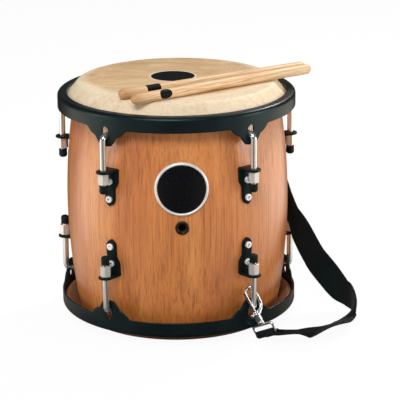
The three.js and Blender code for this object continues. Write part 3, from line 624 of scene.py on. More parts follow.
# %% [markdown]
# A counterhoop is pressed from one strip: a flange with a rolled lip, a rounded shoulder, and a band
# that dips into a scalloped ear at each hook. Its section is carried round the drum, and only the lower
# edge changes, by the distance from an ear's middle. A boolean punches the slots.

# %% Counterhoops
EAR_OUTLINE = np.array([[0, 0], [4, 0.25], [8, 1.0], [10, 2.6], [12.4, 5.9], [14.6, 9.6], [16.6, 12.2],
                        [19, 13.5], [21.5, 14.4], [24, 16.0], [26.5, 18.4], [29, 21.2], [31, 22.6],
                        [34, BAND_EDGE - EAR_TIP]])
EDGE_SOFT, SHOULDER, UNDER_BEND = 1.0, 5.0, 3.0
LIP, BEAD, BEAD_DROP = 146.1, 1.5, 1.1
PUNCH_FROM, PUNCH_TO = 150, 166


def rim_surface(columns=1080, wall_rows=12):
    """Section rows carried round: lower edge, outside, shoulder, flange, lip bead, inside and back."""
    angle = around(columns)
    nearest = (angle[:, None] - (LUG_ANGLES - np.pi / 2) + np.pi) % TURN - np.pi
    across = RIM_R * np.abs(nearest).min(1)
    low = EAR_TIP + np.interp(across, *EAR_OUTLINE.T)
    inner = RIM_R - RIM_THICK
    soft = arc((RIM_R - EDGE_SOFT, EDGE_SOFT), EDGE_SOFT, -90, 0, 6)
    shoulder = arc((RIM_R - SHOULDER, FLANGE_TOP - SHOULDER), SHOULDER, 0, 90, 12)
    bead = arc((LIP + BEAD, FLANGE_TOP - BEAD_DROP), BEAD, 75, 285, 14)
    under = arc((inner - UNDER_BEND, FLANGE_TOP - RIM_THICK - UNDER_BEND), UNDER_BEND, 90, 0, 8)
    flange = joined(shoulder, bead, under)
    share = np.linspace(0, 1, wall_rows)[1:, None]
    outside = (low + EDGE_SOFT) * (1 - share[:-1]) + shoulder[0, 1] * share[:-1]
    inside = under[-1, 1] * (1 - share) + (low + EDGE_SOFT / 2) * share
    section = [(soft[:, :1], low + soft[:, 1:]), (RIM_R, outside), (flange[:, :1], flange[:, 1:]),
               (inner, inside), (inner + EDGE_SOFT / 2, low[None])]
    grid = np.concatenate([round_z(r, z, angle) for r, z in section])
    return surface(grid, close_rows=True, close_cols=True)


def slot_punch():
    """A bar with round ends, along X, for the slot in an ear."""
    half = SLOT_WIDE / 2
    low_end = arc((0, SLOT_LOW + half), half, 180, 360, 16)
    high_end = arc((0, SLOT_LOW + SLOT_HIGH - half), half, 0, 180, 16)
    outline = joined(low_end, high_end)
    bar = slab(outline, outline.mean(0), (0, 1, 1, 0), (PUNCH_FROM, PUNCH_FROM, PUNCH_TO, PUNCH_TO))
    return placed(bar, posed((0, 1, 0), (0, 0, 1), (1, 0, 0)))


for label, end in ENDS:
    rim = piece(f"{label}_counterhoop", [placed(rim_surface(), end_frame(end))], BLACK_ENAMEL,
                f"{label}_tuning", [f"{label}_rim"], sharp=45)
    cut(rim, [placed(slot_punch(), spoke(angle, end)) for angle in LUG_ANGLES])
print("counterhoop triangles", triangles(rim))

# %% [markdown]
# A tuning hook is one rod: threaded below, plain above, bent through the ear's slot. The middle line
# is a straight run, a quarter circle and a short tail, and the thread thins the rod by a triangle wave
# of height and angle.

# %% Tuning hooks
PITCH, THREAD_DEPTH, THREAD_STEP = 1.25, 0.085, 0.2
HOOK_BEND, TAIL_END, HOOK_SIDES = 6.5, 146.4, 24
THREAD_TOP, PLAIN_LOW = SHELF_TOP - 1, SHELF_TOP - 0.8
TIP_REACH, TIP_FALL = np.array([0.5, 0.85, 1.0, 1.0]), np.array([0.15, 0.6, 1.0, ROD_RADIUS])


def hook_surface():
    """A bar along the hook's middle line; the thread thins it by |2 ((z / pitch - turns) mod 1) - 1|."""
    bend = arc((ROD_CIRCLE - HOOK_BEND, TAIL_Z - HOOK_BEND), HOOK_BEND, 0, 90, 18)
    thread_z = np.arange(ROD_END, THREAD_TOP, THREAD_STEP)
    plain_z = np.linspace(PLAIN_LOW, TAIL_Z - HOOK_BEND, 24)[:-1]
    straight = pairs(ROD_CIRCLE, joined(thread_z, plain_z))
    tail = pairs(np.linspace(ROD_CIRCLE - HOOK_BEND, TAIL_END, 10)[1:], TAIL_Z)
    tip = pairs(TAIL_END - TIP_REACH, TAIL_Z)
    line = joined(straight[:1], straight, bend, tail, tip)
    path = np.stack([line[:, 0], np.zeros(len(line)), line[:, 1]], -1)
    radius = np.full(len(line), ROD_RADIUS)
    radius[0] = 0
    radius[-4:] = ROD_RADIUS - TIP_FALL
    points, quads = bent_tube(path, radius, (0, 1, 0), HOOK_SIDES)
    grid = points.reshape(len(path), HOOK_SIDES, 3)
    threaded = slice(2, 1 + len(thread_z))
    turns = np.arange(HOOK_SIDES) / HOOK_SIDES
    wave = np.abs((grid[threaded, :, 2] / PITCH - turns) % 1 - 0.5) * 2
    out = grid[threaded] - path[threaded, None]
    grid[threaded] = path[threaded, None] + out * (1 - THREAD_DEPTH * wave[..., None])
    return grid.reshape(-1, 3), quads


for label, k, at in each_lug():
    hook = piece(f"{label}_tuning_hook_{k}", [placed(hook_surface(), at)], POLISHED_PLATE,
                 f"{label}_tuning", [f"{label}_hook_{k}"], sharp=50)
print("hook triangles", triangles(hook))

# %% [markdown]
# The tuning nuts are long hexagons with turned ends. In polar form a hexagon's radius is its half
# width over the cosine of the angle from the nearest flat, and a cone limits it for the chamfer. The
# caps are soft sleeves with a lip and a round end.

# %% Nuts and caps
NUT_FLATS, NUT_BORE, BORE_SOFT = 13.0, 4.2, 0.5
CHAMFER_RISE = np.array([0.0, 0.15, 0.3, 0.5, 0.75, 1.05])
CHAMFER_START, CHAMFER_SLOPE = 0.965, 1.73
CAP_R, CAP_DOME, CAP_BORE, CAP_WALL = 5.7, 3.9, 4.1, 2.4
CAP_NECK, CAP_LIP, CAP_LIP_ROUND = [[5.5, CAP_TOP - 2.2], [5.45, CAP_TOP - 1.2]], 5.25, 0.55
ON_ROD = posed((1, 0, 0), (0, 1, 0), (0, 0, 1), (ROD_CIRCLE, 0, 0))


def nut_surface(across_flats, low, high, bore, columns=72):
    """Hexagon with a bore: r = half width / cos(angle from a flat), limited by a cone at each end."""
    angle = around(columns)
    flat = (angle + np.pi / 6) % (np.pi / 3) - np.pi / 6
    half, rise = across_flats / 2, CHAMFER_RISE
    limit = half * CHAMFER_START + joined(rise, rise[::-1]) * CHAMFER_SLOPE
    side = np.minimum(half / np.cos(flat), limit[:, None])
    inner = np.full((1, columns), bore)
    r = joined(inner, inner + BORE_SOFT, side, inner + BORE_SOFT, inner)
    z = joined([low + BORE_SOFT, low], low + rise, high - rise[::-1], [high, high - BORE_SOFT])
    return surface(round_z(r, z[:, None], angle), close_rows=True, close_cols=True)


def cap_profile():
    """A round closed end, a sleeve, a soft lip and the bore: (r, height)."""
    dome = arc((CAP_R - CAP_DOME, CAP_END + CAP_DOME), CAP_DOME, -90, -6, 12)
    lip = arc((CAP_LIP, CAP_TOP - CAP_LIP_ROUND), CAP_LIP_ROUND, -40, 160, 8)
    inside = [[CAP_BORE, CAP_TOP - 0.4], [CAP_BORE, CAP_END + CAP_WALL], [0, CAP_END + CAP_WALL]]
    return joined([[0, CAP_END]], dome, CAP_NECK, lip, inside)


for label, k, at in each_lug():
    nut = placed(nut_surface(NUT_FLATS, NUT_LOW, NUT_TOP, NUT_BORE), ON_ROD, at)
    piece(f"{label}_tuning_nut_{k}", [nut], SATIN_PLATE, f"{label}_nut_{k}", [f"{label}_nut_{k}"],
          sharp=20)
    cap = placed(turned(cap_profile(), 36), ON_ROD, at)
    piece(f"{label}_rod_cap_{k}", [cap], CAP_RUBBER, f"{label}_tuning", [f"{label}_cap_{k}"])
print("nuts and caps", 2 * len(each_lug()))

# %% [markdown]
# A lug is a plate pressed to the shell's curve, wide at the top and pointed below, with a shelf that
# takes the pull of the nut, and two socket bolts. The plate is a grid: half width times a share across,
# lifted off the barrel by a height that rounds off at the edges.

# %% Lugs
LUG_WIDE, LUG_TAIL, LUG_CORNER = 11.5, 7.3, 3.0
LUG_BEND, LUG_BEND_LONG, LUG_POINT, LUG_LONG = 17.5, 10.5, 41.0, 50.0
PLATE_THICK, PLATE_SOFT, PLATE_GAP = 3.8, 1.1, 0.05
SHELF_THICK, SHELF_SOFT, SHELF_NOSE, SHELF_REACH = 3.0, 0.8, 9.6, 11
SHELF_ROOT = np.array([[152, 10.2], [146, 10.4], [146, -10.4], [152, -10.2]])
SHELF_MIDDLE = (157.0, 0)
BOLT_DROPS = (17.0, 40.5)
BOLT_NUT_FLATS, BOLT_NUT_HIGH, BOLT_BORE, BOLT_NUT_IN = 10.0, 5.0, 2.8, 14.4


def lug_half_width(drop):
    """Half width at a drop below the top: round corners, a wide part, an S bend, a tail and a point."""
    bend = np.clip((drop - LUG_BEND) / LUG_BEND_LONG, 0, 1)
    wide = LUG_WIDE - (LUG_WIDE - LUG_TAIL) * bend * bend * (3 - 2 * bend)
    near = LUG_CORNER - np.minimum(drop, LUG_CORNER)
    corner = LUG_WIDE - LUG_CORNER + np.sqrt(LUG_CORNER ** 2 - near ** 2)
    point = np.clip((drop - LUG_POINT) / (LUG_LONG - LUG_POINT), 0, 1)
    return np.minimum(wide, corner) * (1 - point ** 2) ** 0.72


def lug_plate():
    """For each height, a section from one edge over the face to the other, on the barrel's curve."""
    tail = LUG_POINT + (LUG_LONG - LUG_POINT) * np.sin(np.linspace(0, np.pi / 2, 18))
    corner, side = np.linspace(0, LUG_CORNER, 9), np.linspace(LUG_CORNER, LUG_POINT, 40)
    drop = joined(corner[:-1], side[:-1], tail)
    half = lug_half_width(drop)[:, None]
    a = np.radians(np.linspace(0, 90, 7))
    inset = joined([0], 1 - np.cos(a))
    lift = joined([0], PLATE_THICK - PLATE_SOFT + PLATE_SOFT * np.sin(a))
    soft = np.minimum(PLATE_SOFT, half)
    left = -half + soft * inset
    middle = (half - soft) * np.linspace(-1, 1, 9)[1:-1]
    across = np.concatenate([left, middle, -left[:, ::-1]], 1)
    height = joined(lift, np.full(7, PLATE_THICK), lift[::-1])
    fade = np.sqrt(1 - (1 - np.minimum(drop / PLATE_SOFT, 1)) ** 2)[:, None]
    z = (SHELF_TOP - drop)[:, None]
    x = np.sqrt(shell_radius(z) ** 2 - across ** 2) + height * fade + PLATE_GAP
    return surface(np.stack(np.broadcast_arrays(x, across, z), -1), close_cols=True)


def lug_shelf():
    """A slab from the plate out round the rod, drawn in a little where its edges are rounded."""
    nose = arc((ROD_CIRCLE, 0), SHELF_NOSE, -85, 85, 30)
    outline = resampled(joined(nose, SHELF_ROOT, nose[:1]), 1.2)[:-1]
    a = np.radians(np.linspace(90, -90, 11))
    scale = joined([0], 1 - SHELF_SOFT / SHELF_REACH * (1 - np.cos(a)), [0])
    half = SHELF_THICK / 2
    edge = (half - SHELF_SOFT) * np.sign(np.sin(a)) + SHELF_SOFT * np.sin(a)
    return slab(outline, SHELF_MIDDLE, scale, SHELF_TOP - half + joined([half], edge, [-half]))


def bolt_head():
    """A round head on its seat, with a socket: profile (r, height)."""
    crown = arc((3.8, 1.8), 0.8, 0, 90, 8)
    return joined([[0, 0], [4.6, 0]], crown, [[2.1, 2.6], [1.9, 2.4], [1.85, 0.25], [0, 0.15]])


for label, k, at in each_lug():
    lug = piece(f"{label}_lug_bracket_{k}", [placed(lug_plate(), at), placed(lug_shelf(), at)],
                LUG_ENAMEL, "drum", [f"{label}_lug_{k}"], sharp=50)
    bolts = []
    for z in SHELF_TOP - np.array(BOLT_DROPS):
        seat = facing_out((shell_radius(z) + PLATE_THICK, 0, z))
        inside = facing_out((shell_radius(z) - BOLT_NUT_IN, 0, z))
        nut = nut_surface(BOLT_NUT_FLATS, 0.0, BOLT_NUT_HIGH, BOLT_BORE, 36)
        bolts += [placed(turned(bolt_head(), 32), seat, at), placed(nut, inside, at)]
    piece(f"{label}_lug_bolts_{k}", bolts, BRIGHT_PLATE, "drum", (), sharp=35)
print("lug triangles", triangles(lug))

# %% [markdown]
# The badge is a pressed disc that follows the barrel, inside a bright ring. A point at radius p and
# angle a lies across by p cos a and up by p sin a, and its height over the wood is a profile of p. The
# vent's grommet is a turned eyelet through the wall.

# %% Badge and vent
BADGE_Z = 51.4
FACE_LINE = [[0, 2.5], [8, 2.5], [16, 2.45], [24, 2.35], [28.4, 2.25], [30.4, 2.1], [31.2, 1.8],
             [31.3, 0.05], [16, 0.05], [0, 0.05]]
RING_LINE = joined([[31.6, 0.05], [31.6, 2.0]], arc((33.1, 2.0), 1.5, 180, 20, 10),
                   [[35.0, 1.4], [35.0, 0.05]])
EYELET_TUBE = [[4.5, 137.6], [7.7, 137.6], [7.7, 139.4], [6.1, 139.4], [6.1, 148.9], [9.0, 149.0]]
EYELET_LINE = joined(EYELET_TUBE, arc((7.0, 149.6), 2.1, 0, 120, 10),
                     arc((5.2, 149.4), 0.9, 90, 200, 6), [[4.5, 147.5]])


def on_barrel(line, loop=False):
    """A round pressing on the shell: the line's points are (radius, height over the wood)."""
    line, a = np.asarray(line, float), around(120)
    y, z = line[:, :1] * np.cos(a), BADGE_Z + line[:, :1] * np.sin(a)
    x = np.sqrt(shell_radius(z) ** 2 - y ** 2) + line[:, 1:]
    return placed(surface(np.stack([x, y, z], -1), close_rows=loop, close_cols=True), spoke(FRONT))


piece("badge_face", [on_barrel(FACE_LINE)], BADGE_ENAMEL, "drum", ["badge_disc"],
      sharp=30)
piece("badge_bezel", [on_barrel(RING_LINE, loop=True)], BRIGHT_PLATE, "drum", ["badge_ring"],
      sharp=40)
eyelet = placed(turned(EYELET_LINE, 64, loop=True), facing_out(), spoke(FRONT))
piece("vent_eyelet", [eyelet], DARK_BRASS, "drum", ["vent_grommet"], sharp=40)
print("badge height", round(MID + BADGE_Z, 1), "mm")

# %% [markdown]
# The sticks are pale straight-grained wood, brown at the handled ends, with a plain black stamp. Their
# UV map runs round in turns and along in shares of the length, so grain and stamp follow the wood.

# %% Stick wood


def off_by(value, middle, half):
    """How far a value is from a middle, in shares of a half width."""
    return divided(absolute(minus(value, middle)), half)


def stick_wood(name, stamp_round, stamp_along, power):
    """Grain, brown ends and a stamp: |u|^power + |v|^power < 1 about a (middle, half width) each way."""
    material, tree = new_finish(name)
    lay = parted(coords(tree, "UV"))
    grain = noise(tree, 9, 5, 0.6, 0.5, (3.4, 0.6, 1), "UV")
    fine = noise(tree, 30, 3, 0.6, 0.0, (4, 0.5, 1), "UV")
    colour = graded(grain, [(0.34, (0.50, 0.235, 0.082)), (0.46, (0.74, 0.50, 0.28)),
                            (0.62, (0.85, 0.68, 0.46))])
    lines = graded(fine, [(0.35, (0.8, 0.66, 0.5)), (0.6, WHITE)])
    colour = mixed(0.8, colour, lines, "MULTIPLY")
    handled = graded(lay["Y"], [(0.0, 1.0), (0.06, 0.45), (0.16, 0.0), (0.97, 0.0), (1.0, 0.5)])
    colour = mixed(times(handled, 0.75), colour, (0.42, 0.185, 0.055))
    off = [off_by(lay["Y"], *stamp_along), off_by(lay["X"], *stamp_round)]
    reach = plus(*(raised(value, power) for value in off))
    stamp = graded(reach, [(0.94, 1.0), (1.0, 0.0)])
    colour = mixed(stamp, colour, (0.006, 0.006, 0.005))
    rough = graded(fine, [(0.3, 0.55), (0.7, 0.42)])
    shine = graded(stamp, [(0.0, 0.45), (1.0, 0.08)])
    shaded(colour, rough, {"Specular IOR Level": shine}, fine, 0.00008, 0.3)
    return material


FRONT_STICK_WOOD = stick_wood("front_stick_wood", (0.2, 0.18), (0.171, 0.033), 2.0)
BACK_STICK_WOOD = stick_wood("back_stick_wood", (0.11, 0.19), (0.172, 0.036), 5.0)
tell(FRONT_STICK_WOOD, BACK_STICK_WOOD)

# %% [markdown]
# Each stick is a rod with blunt round ends that lies on the upper head. A profile of (along, radius)
# is carried round the line between its two ends.

# %% Sticks
STICK_R, STICK_GAP, STICK_SIDES, BLUNT = 6.8, 0.1, 48, 0.9


def stick(name, node, start, stop, finish):
    """start + along A + radius (cos a Z - sin a S), with A the stick's way, S its side, the seam below."""
    level = HEIGHT + STICK_GAP + STICK_R
    start, stop = np.append(start, level), np.append(stop, level)
    length = np.linalg.norm(stop - start)
    ahead, up = (stop - start) / length, np.array([0, 0, 1.0])
    foot = arc((STICK_R * BLUNT, 0), STICK_R, 180, 96, 12) * (BLUNT, 1)
    head = (foot * (-1, 1) + (length, 0))[::-1]
    body = pairs(np.linspace(foot[-1, 0], head[0, 0], 30)[1:-1], STICK_R)
    line = joined(foot, body, head)
    line[[0, -1], 1] = 0
    turns = np.linspace(-0.5, 0.5, STICK_SIDES + 1)[:, None]
    out = np.cos(TURN * turns) * up - np.sin(TURN * turns) * np.cross(up, ahead)
    ring = start + line[:, :1, None] * ahead + line[:, 1:, None] * out
    uv = pairs(turns.T, (line[:, :1] - line[0, 0]) / length).reshape(-1, 2)
    piece(name, [surface(ring)], finish, node, [node], uv=uv)
    print(name, round(float(length), 1), "mm")


stick("front_stick", "stick_1", (-57.7, -140), (179, 21.4), FRONT_STICK_WOOD)
stick("back_stick", "stick_2", (-74.1, -111.5), (172.5, 35.6), BACK_STICK_WOOD)

# %% [markdown]
# A bolt snap hangs on a rod at each end of the strap: a cast hook, a sprung bolt that closes it, and a
# swivel eye for the webbing. Its frame stands at the bolt's tip, with Y along the bolt and X to the
# side where the hook bulges.

# %% Snap frames


def snap_frame(angle, tip, axis, side):
    """X towards the hook's arm, Y from the swivel to the nose, Z across, at the bolt's tip."""
    along, out = (math.cos(angle), math.sin(angle), 0), (math.sin(angle), -math.cos(angle), 0)
    base = np.column_stack([along, out, (0, 0, 1)])
    down, x = unit(base @ axis), base @ side
    x = unit(x - (x @ down) * down)
    return posed(x, -down, np.cross(x, -down), base @ tip)


def about_y(degrees):
    """A turn about Y."""
    c, s = math.cos(math.radians(degrees)), math.sin(math.radians(degrees))
    return posed((c, 0, -s), (0, 1, 0), (s, 0, c))


LOWER_SNAP = snap_frame(LUG_ANGLES[0], (-11.4, ROD_CIRCLE - 4.9, 65.8), (0.28, 0.42, -0.86),
                        (1, -0.08, 0))
UPPER_SNAP = snap_frame(LUG_ANGLES[2], (12.5, ROD_CIRCLE + 6.8, 259.3), (-0.8, 0, -0.6), (0, -1, 0))
SNAPS = {"lower": (LOWER_SNAP, LOWER_SNAP @ about_y(-95)),
         "upper": (UPPER_SNAP, UPPER_SNAP @ about_y(90))}
print("lower snap at", LOWER_SNAP[:3, 3].round(1))

# %% [markdown]
# The hook's arm is a bar with a radius of its own at each point of a smooth line. Housing, bolt, thumb
# stud and swivel stem are turned, and the eye is a closed loop of wire.

# %% Snaps
HOUSING_TOP, HOUSING_END, EYE_LOW, EYE_TOP = -28.0, -45.5, -59.9, -47.5
EYE_HALF, EYE_ROUND, EYE_WIRE = 21.7, 3.0, 1.75
BOW_R, NOSE_Y, ARM_POINTS, STUD_Y = 8.25, 2.6, 90, -31
ARM_R, ARM_SWELL, ARM_THINS = 2.3, 0.35, 0.25
ALONG_Y = posed((1, 0, 0), (0, 0, -1), (0, 1, 0))


def spline(knots, at, power):
    """Cubic Hermite spans through knots; slopes weigh the neighbours by their distance to a power."""
    ext = joined(2 * knots[:1] - knots[1:2], knots, 2 * knots[-1:] - knots[-2:-1])
    step = np.linalg.norm(np.diff(ext, axis=0), axis=1)[:, None] ** power
    i = np.minimum(at.astype(int), len(knots) - 2)
    d0, d1, d2 = step[i], step[i + 1], step[i + 2]
    x0, x1, x2, x3 = ext[i], ext[i + 1], ext[i + 2], ext[i + 3]
    s1 = ((x1 - x0) / d0 - (x2 - x0) / (d0 + d1) + (x2 - x1) / d1) * d1
    s2 = ((x2 - x1) / d1 - (x3 - x1) / (d1 + d2) + (x3 - x2) / d2) * d1
    u = (at - i)[:, None]
    return x1 + s1 * u + (3 * (x2 - x1) - 2 * s1 - s2) * u ** 2 + (2 * (x1 - x2) + s1 + s2) * u ** 3


def flat_path(points):
    """Points of a plane with a zero for Z."""
    return np.concatenate([points, np.zeros((len(points), 1))], 1)


def snap_hook_parts():
    """The hook's arm as a bar that swells towards its bend, and the housing as a turned barrel."""
    knots = [[3.4, -34], [7.6, -31], [12.6, -27.5], [15.6, -22.6], [16.5, -15], [16.5, -8]]
    bow = arc((BOW_R, NOSE_Y - BOW_R), BOW_R, 0, 165, 8)
    knots = joined(knots, bow, [[-0.2, 0.6]])
    path = flat_path(spline(knots, np.linspace(0, len(knots) - 1, ARM_POINTS), 0))
    share = np.linspace(0, 1, ARM_POINTS)
    swell = np.sin(np.pi * np.clip(share * 1.3, 0, 1))
    radius = ARM_R + ARM_SWELL * swell - ARM_THINS * share
    path = joined(path[:1], path, path[-1:])
    arm = bent_tube(path, joined([0], radius, [0]), (0, 0, 1), 24)
    housing = [[0, HOUSING_END], [4.2, HOUSING_END], [4.7, -45.0], [4.7, -43.2], [4.2, -42.6],
               [4.2, -41.4], [4.9, -40.8], [4.95, -31.5], [4.6, -30.6], [4.6, -29.6], [4.9, -29.0],
               [4.6, -28.1], [2.4, HOUSING_TOP], [2.3, -29], [0, -29]]
    return [arm, placed(turned(resampled(housing, 0.45), 40), ALONG_Y)]


def snap_bolt_parts():
    """A plain bolt with a round tip, and its thumb stud on the far side."""
    rod = [[0, -33], [2, -33], [2, -1.0], [1.6, -0.3], [0.8, -0.02], [0, 0]]
    stud = [[0, 0], [1.5, 0], [1.5, 6.6], [2.2, 7.2], [2.7, 7.9], [2.5, 8.8], [1.6, 9.3], [0, 9.5]]
    on_bolt = posed((0, 0, 1), (0, 1, 0), (-1, 0, 0), (0, STUD_Y, 0))
    return [placed(turned(resampled(rod, 0.5), 24), ALONG_Y),
            placed(turned(resampled(stud, 0.3), 24), on_bolt)]


def snap_eye_parts():
    """A wire loop with round corners on a swivel stem."""
    x, high, low = EYE_HALF - EYE_ROUND, EYE_TOP - EYE_ROUND, EYE_LOW + EYE_ROUND
    corners = [((x, high), 90), ((x, low), 0), ((-x, low), 270), ((-x, high), 180)]
    outline = np.concatenate([arc(centre, EYE_ROUND, a, a - 90, 8) for centre, a in corners])
    loop = resampled(joined(outline, outline[:1]), 1.0)[:-1]
    stem = [[0, -48.5], [3.4, -48.2], [3.3, -46.4], [2.5, -45.7], [2.5, -42.2], [0, -42.0]]
    return [bent_tube(flat_path(loop), EYE_WIRE, (0, 0, 1), 20, closed=True),
            placed(turned(resampled(stem, 0.4), 28), ALONG_Y)]


for label, (hook_at, eye_at) in SNAPS.items():
    for part, parts, at, body in (("hook", snap_hook_parts(), hook_at, f"{label}_snap_hook"),
                                  ("bolt", snap_bolt_parts(), hook_at, f"{label}_snap_bolt"),
                                  ("eye", snap_eye_parts(), eye_at, "drum")):
        made = piece(f"{label}_strap_{part}", [placed(p, at) for p in parts], SNAP_PLATE, body,
                     [f"{label}_snap_{part}"], sharp=40)
print("snap eye triangles", triangles(made))

# %% [markdown]
# The strap is black polypropylene webbing, 38 mm wide. Its UV map is in millimetres across and along,
# so the weave keeps its real size: ribs along the strap, crossed by finer weft.

# %% Webbing
RIB_STEP, WEFT_STEP = 1.9, 1.3


def webbing():
    """Ribs |sin| across, a weft sine along that leans with them, and fuzz that evens the black out."""
    material, tree = new_finish("black_webbing")
    lay = parted(coords(tree, "UV"))
    rib = absolute(sine(times(lay["X"], TURN / RIB_STEP)))
    lean = plus(lay["Y"], times(rib, 0.5))
    weft = sine(times(lean, TURN / WEFT_STEP))
    cloth = plus(times(rib, 0.7), times(weft, 0.3))
    fuzz = noise(tree, 260, 4, 0.7)
    shade = plus(times(cloth, 0.35), times(fuzz, 0.65))
    colour = graded(shade, [(0.15, (0.0008, 0.0016, 0.0018)), (0.55, (0.0026, 0.0046, 0.0052)),
                            (0.95, (0.008, 0.012, 0.013))])
    rough = graded(fuzz, [(0.3, 0.62), (0.7, 0.8)])
    fibre = {"Sheen Weight": 0.04, "Sheen Roughness": 0.4, "Specular IOR Level": 0.25,
             "Specular Tint": (0.6, 0.95, 1.0, 1)}
    shaded(colour, rough, fibre, cloth, 0.00035, 0.6)
    return material


BLACK_WEBBING = webbing()
tell(BLACK_WEBBING)

# %% [markdown]
# The strap leaves the lower eye, twists on the floor, folds over and climbs behind the drum to the
# upper eye, sewn back on itself round each. It is laid out from listed stations, which say where its
# middle lies and which way its width points, and a smooth line joins them.

# %% Strap route
SPAN_STEPS, FOLD, FOLD_FLAT, WRAP, PLY = 14, 13.0, 0.65, 3.9, 1.4
ROUTE_PLAN = np.array([
    (46.8, 52.5, 14.4, -0.38, 0.82, -0.42), (50.3, 68.4, 13.8, -0.39, 0.67, -0.64),
    (54.1, 72.4, 13.1, -0.57, 0.54, -0.62), (58.2, 74.2, 12.3, -0.62, 0.53, -0.57),
    (63.9, 77.5, 10.2, -0.6, 0.72, -0.34), (68.3, 79.4, 10.9, -0.55, 0.74, -0.4),
    (69.6, 80.3, 12.6, -0.21, 0.92, -0.33), (73.7, 84.7, 18.6, 0, 0.71, -0.7),
    (78.6, 81.2, 23.3, -0.02, 0.5, -0.87), (81.2, 73.9, 26.2, -0.34, 0.54, -0.77),
    (83.2, 62, 31.7, -0.62, 0.43, -0.66), (85.7, 47.2, 46.9, -0.61, 0.26, -0.75),
    (86.8, 26.6, 74.3, -0.36, 0.29, -0.89), (91, 8.6, 107, -0.42, 0.32, -0.85),
    (97.2, 1.4, 122, -0.3, 0.66, -0.69), (103.9, -0.8, 138, -0.2, 0.72, -0.66),
    (111.5, -0.9, 152, -0.25, 0.6, -0.75), (120.5, -1.1, 167, -0.15, 0.3, -0.94),
    (133.2, -2.6, 189, 0.2, -0.1, -0.97), (148.5, 1.8, 205, 0.32, -0.1, -0.94)])


def laid(plan):
    """Stations from (degrees round from the front, distance out from the rim, height, width vector)."""
    turn, radius = np.radians(plan[:, 0]), RIM_R + plan[:, 1]
    return np.column_stack([radius * np.sin(turn), -radius * np.cos(turn), plan[:, 2:]])


def through(*knots):
    """A smooth line through rows of knots, with the same number of steps in each span."""
    knots = np.concatenate(knots)
    return spline(knots, np.arange((len(knots) - 1) * SPAN_STEPS + 1) / SPAN_STEPS, 0.5)


def sewn_end(eye, following, face):
    """Points from the cut end, round the bar of the eye, to where both plies part; and width vectors."""
    bar = eye[:3, :3] @ (0, EYE_LOW, 0) + eye[:3, 3]
    across = eye[:3, 0] * (1 if eye[:3, 0] @ following[3:] > 0 else -1)
    away = following[:3] - bar
    away = unit(away - (away @ across) * across)
    over = np.cross(across, away)
    over *= 1 if over @ face > 0 else -1
    sewn = pairs(np.linspace(FOLD, FOLD_FLAT * FOLD, 8), PLY)
    near = np.linspace(FOLD_FLAT * FOLD, 0, 8)[1:-1]
    ease = 0.5 - 0.5 * np.cos(np.pi * (1 - near / (FOLD_FLAT * FOLD)))
    ply = joined(sewn, pairs(near, PLY + (WRAP - PLY) * ease))
    plan = joined(ply * (1, -1), arc((0, 0), WRAP, -90, -270, 17), ply[::-1])
    points = bar + plan[:, :1] * away + plan[:, 1:] * over
    return points, np.tile(across, (len(points), 1))


route = laid(ROUTE_PLAN)
lower_fold, lower_wide = sewn_end(SNAPS["lower"][1], route[0], (0, 0, 1))
upper_fold, upper_wide = sewn_end(SNAPS["upper"][1], route[-1], (0, 1, 0))
free = through(lower_fold[-1:], route[:, :3], upper_fold[-1:])
free_wide = through(lower_wide[-1:], route[:, 3:], upper_wide[-1:])
middle_line = joined(lower_fold[:-1], free, upper_fold[-2::-1])
width_way = joined(lower_wide[:-1], free_wide, upper_wide[-2::-1])
strap_run = run_along(middle_line)
print("strap stations", len(middle_line), "length", round(float(strap_run[-1])), "mm")

# %% [markdown]
# The webbing is a section with flat faces and round selvedges, carried along the route with its width
# turned square to the way. It hangs by its two eyes.

# %% Strap
STRAP_WIDE, STRAP_THICK = 38.0, 2.2


def strap_surface():
    """p + w W + t N, with the section (w, t) a flat oval, and its UV map of girth and length."""
    along = unit(np.gradient(middle_line, axis=0))
    wide = unit(width_way - (width_way * along).sum(1, keepdims=True) * along)
    thick = np.cross(along, wide)
    edge = STRAP_THICK / 2
    right = arc((STRAP_WIDE / 2 - edge, 0), edge, -90, 90, 9)
    over = pairs(np.linspace(1, -1, 13)[1:-1] * (STRAP_WIDE / 2 - edge), edge)
    section = joined(right, over, -right, -over, right[:1])
    ring = middle_line[:, None] + section[:, :1] * wide[:, None] + section[:, 1:] * thick[:, None]
    closing = [np.repeat(middle_line[k][None, None], len(section), 1) for k in (0, -1)]
    run = joined(strap_run[:1], strap_run, strap_run[-1:])
    uv = pairs(run_along(section)[None], run[:, None]).reshape(-1, 2)
    return surface(joined(closing[0], ring, closing[1])), uv


strap_part, strap_uv = strap_surface()
strap = piece("carrying_strap", [strap_part], BLACK_WEBBING, "drum", ["strap"], sharp=60,
              uv=strap_uv)
print("strap triangles", triangles(strap))

# %% [markdown]
# The floor stays white to the camera and keeps a soft shadow. The drum's sides mirror it, and to a
# mirror it glows with painted light: dark in front and behind, dark near the drum's foot as a painted
# shadow of the drum, and bright further out at both sides. A small key from behind on the right throws
# the sticks' shadows forward. Low soft boxes close to the sides give the long highlights, lamps further
# out light the edges, and one over the camera the front.

# %% Studio
FLOOR_DROP, FLOOR_HALF = 0.0004, 8
SUN, GLOW, LAMP = (1.0, 0.97, 0.93), (1.0, 0.88, 0.76), (1.0, 0.95, 0.88)


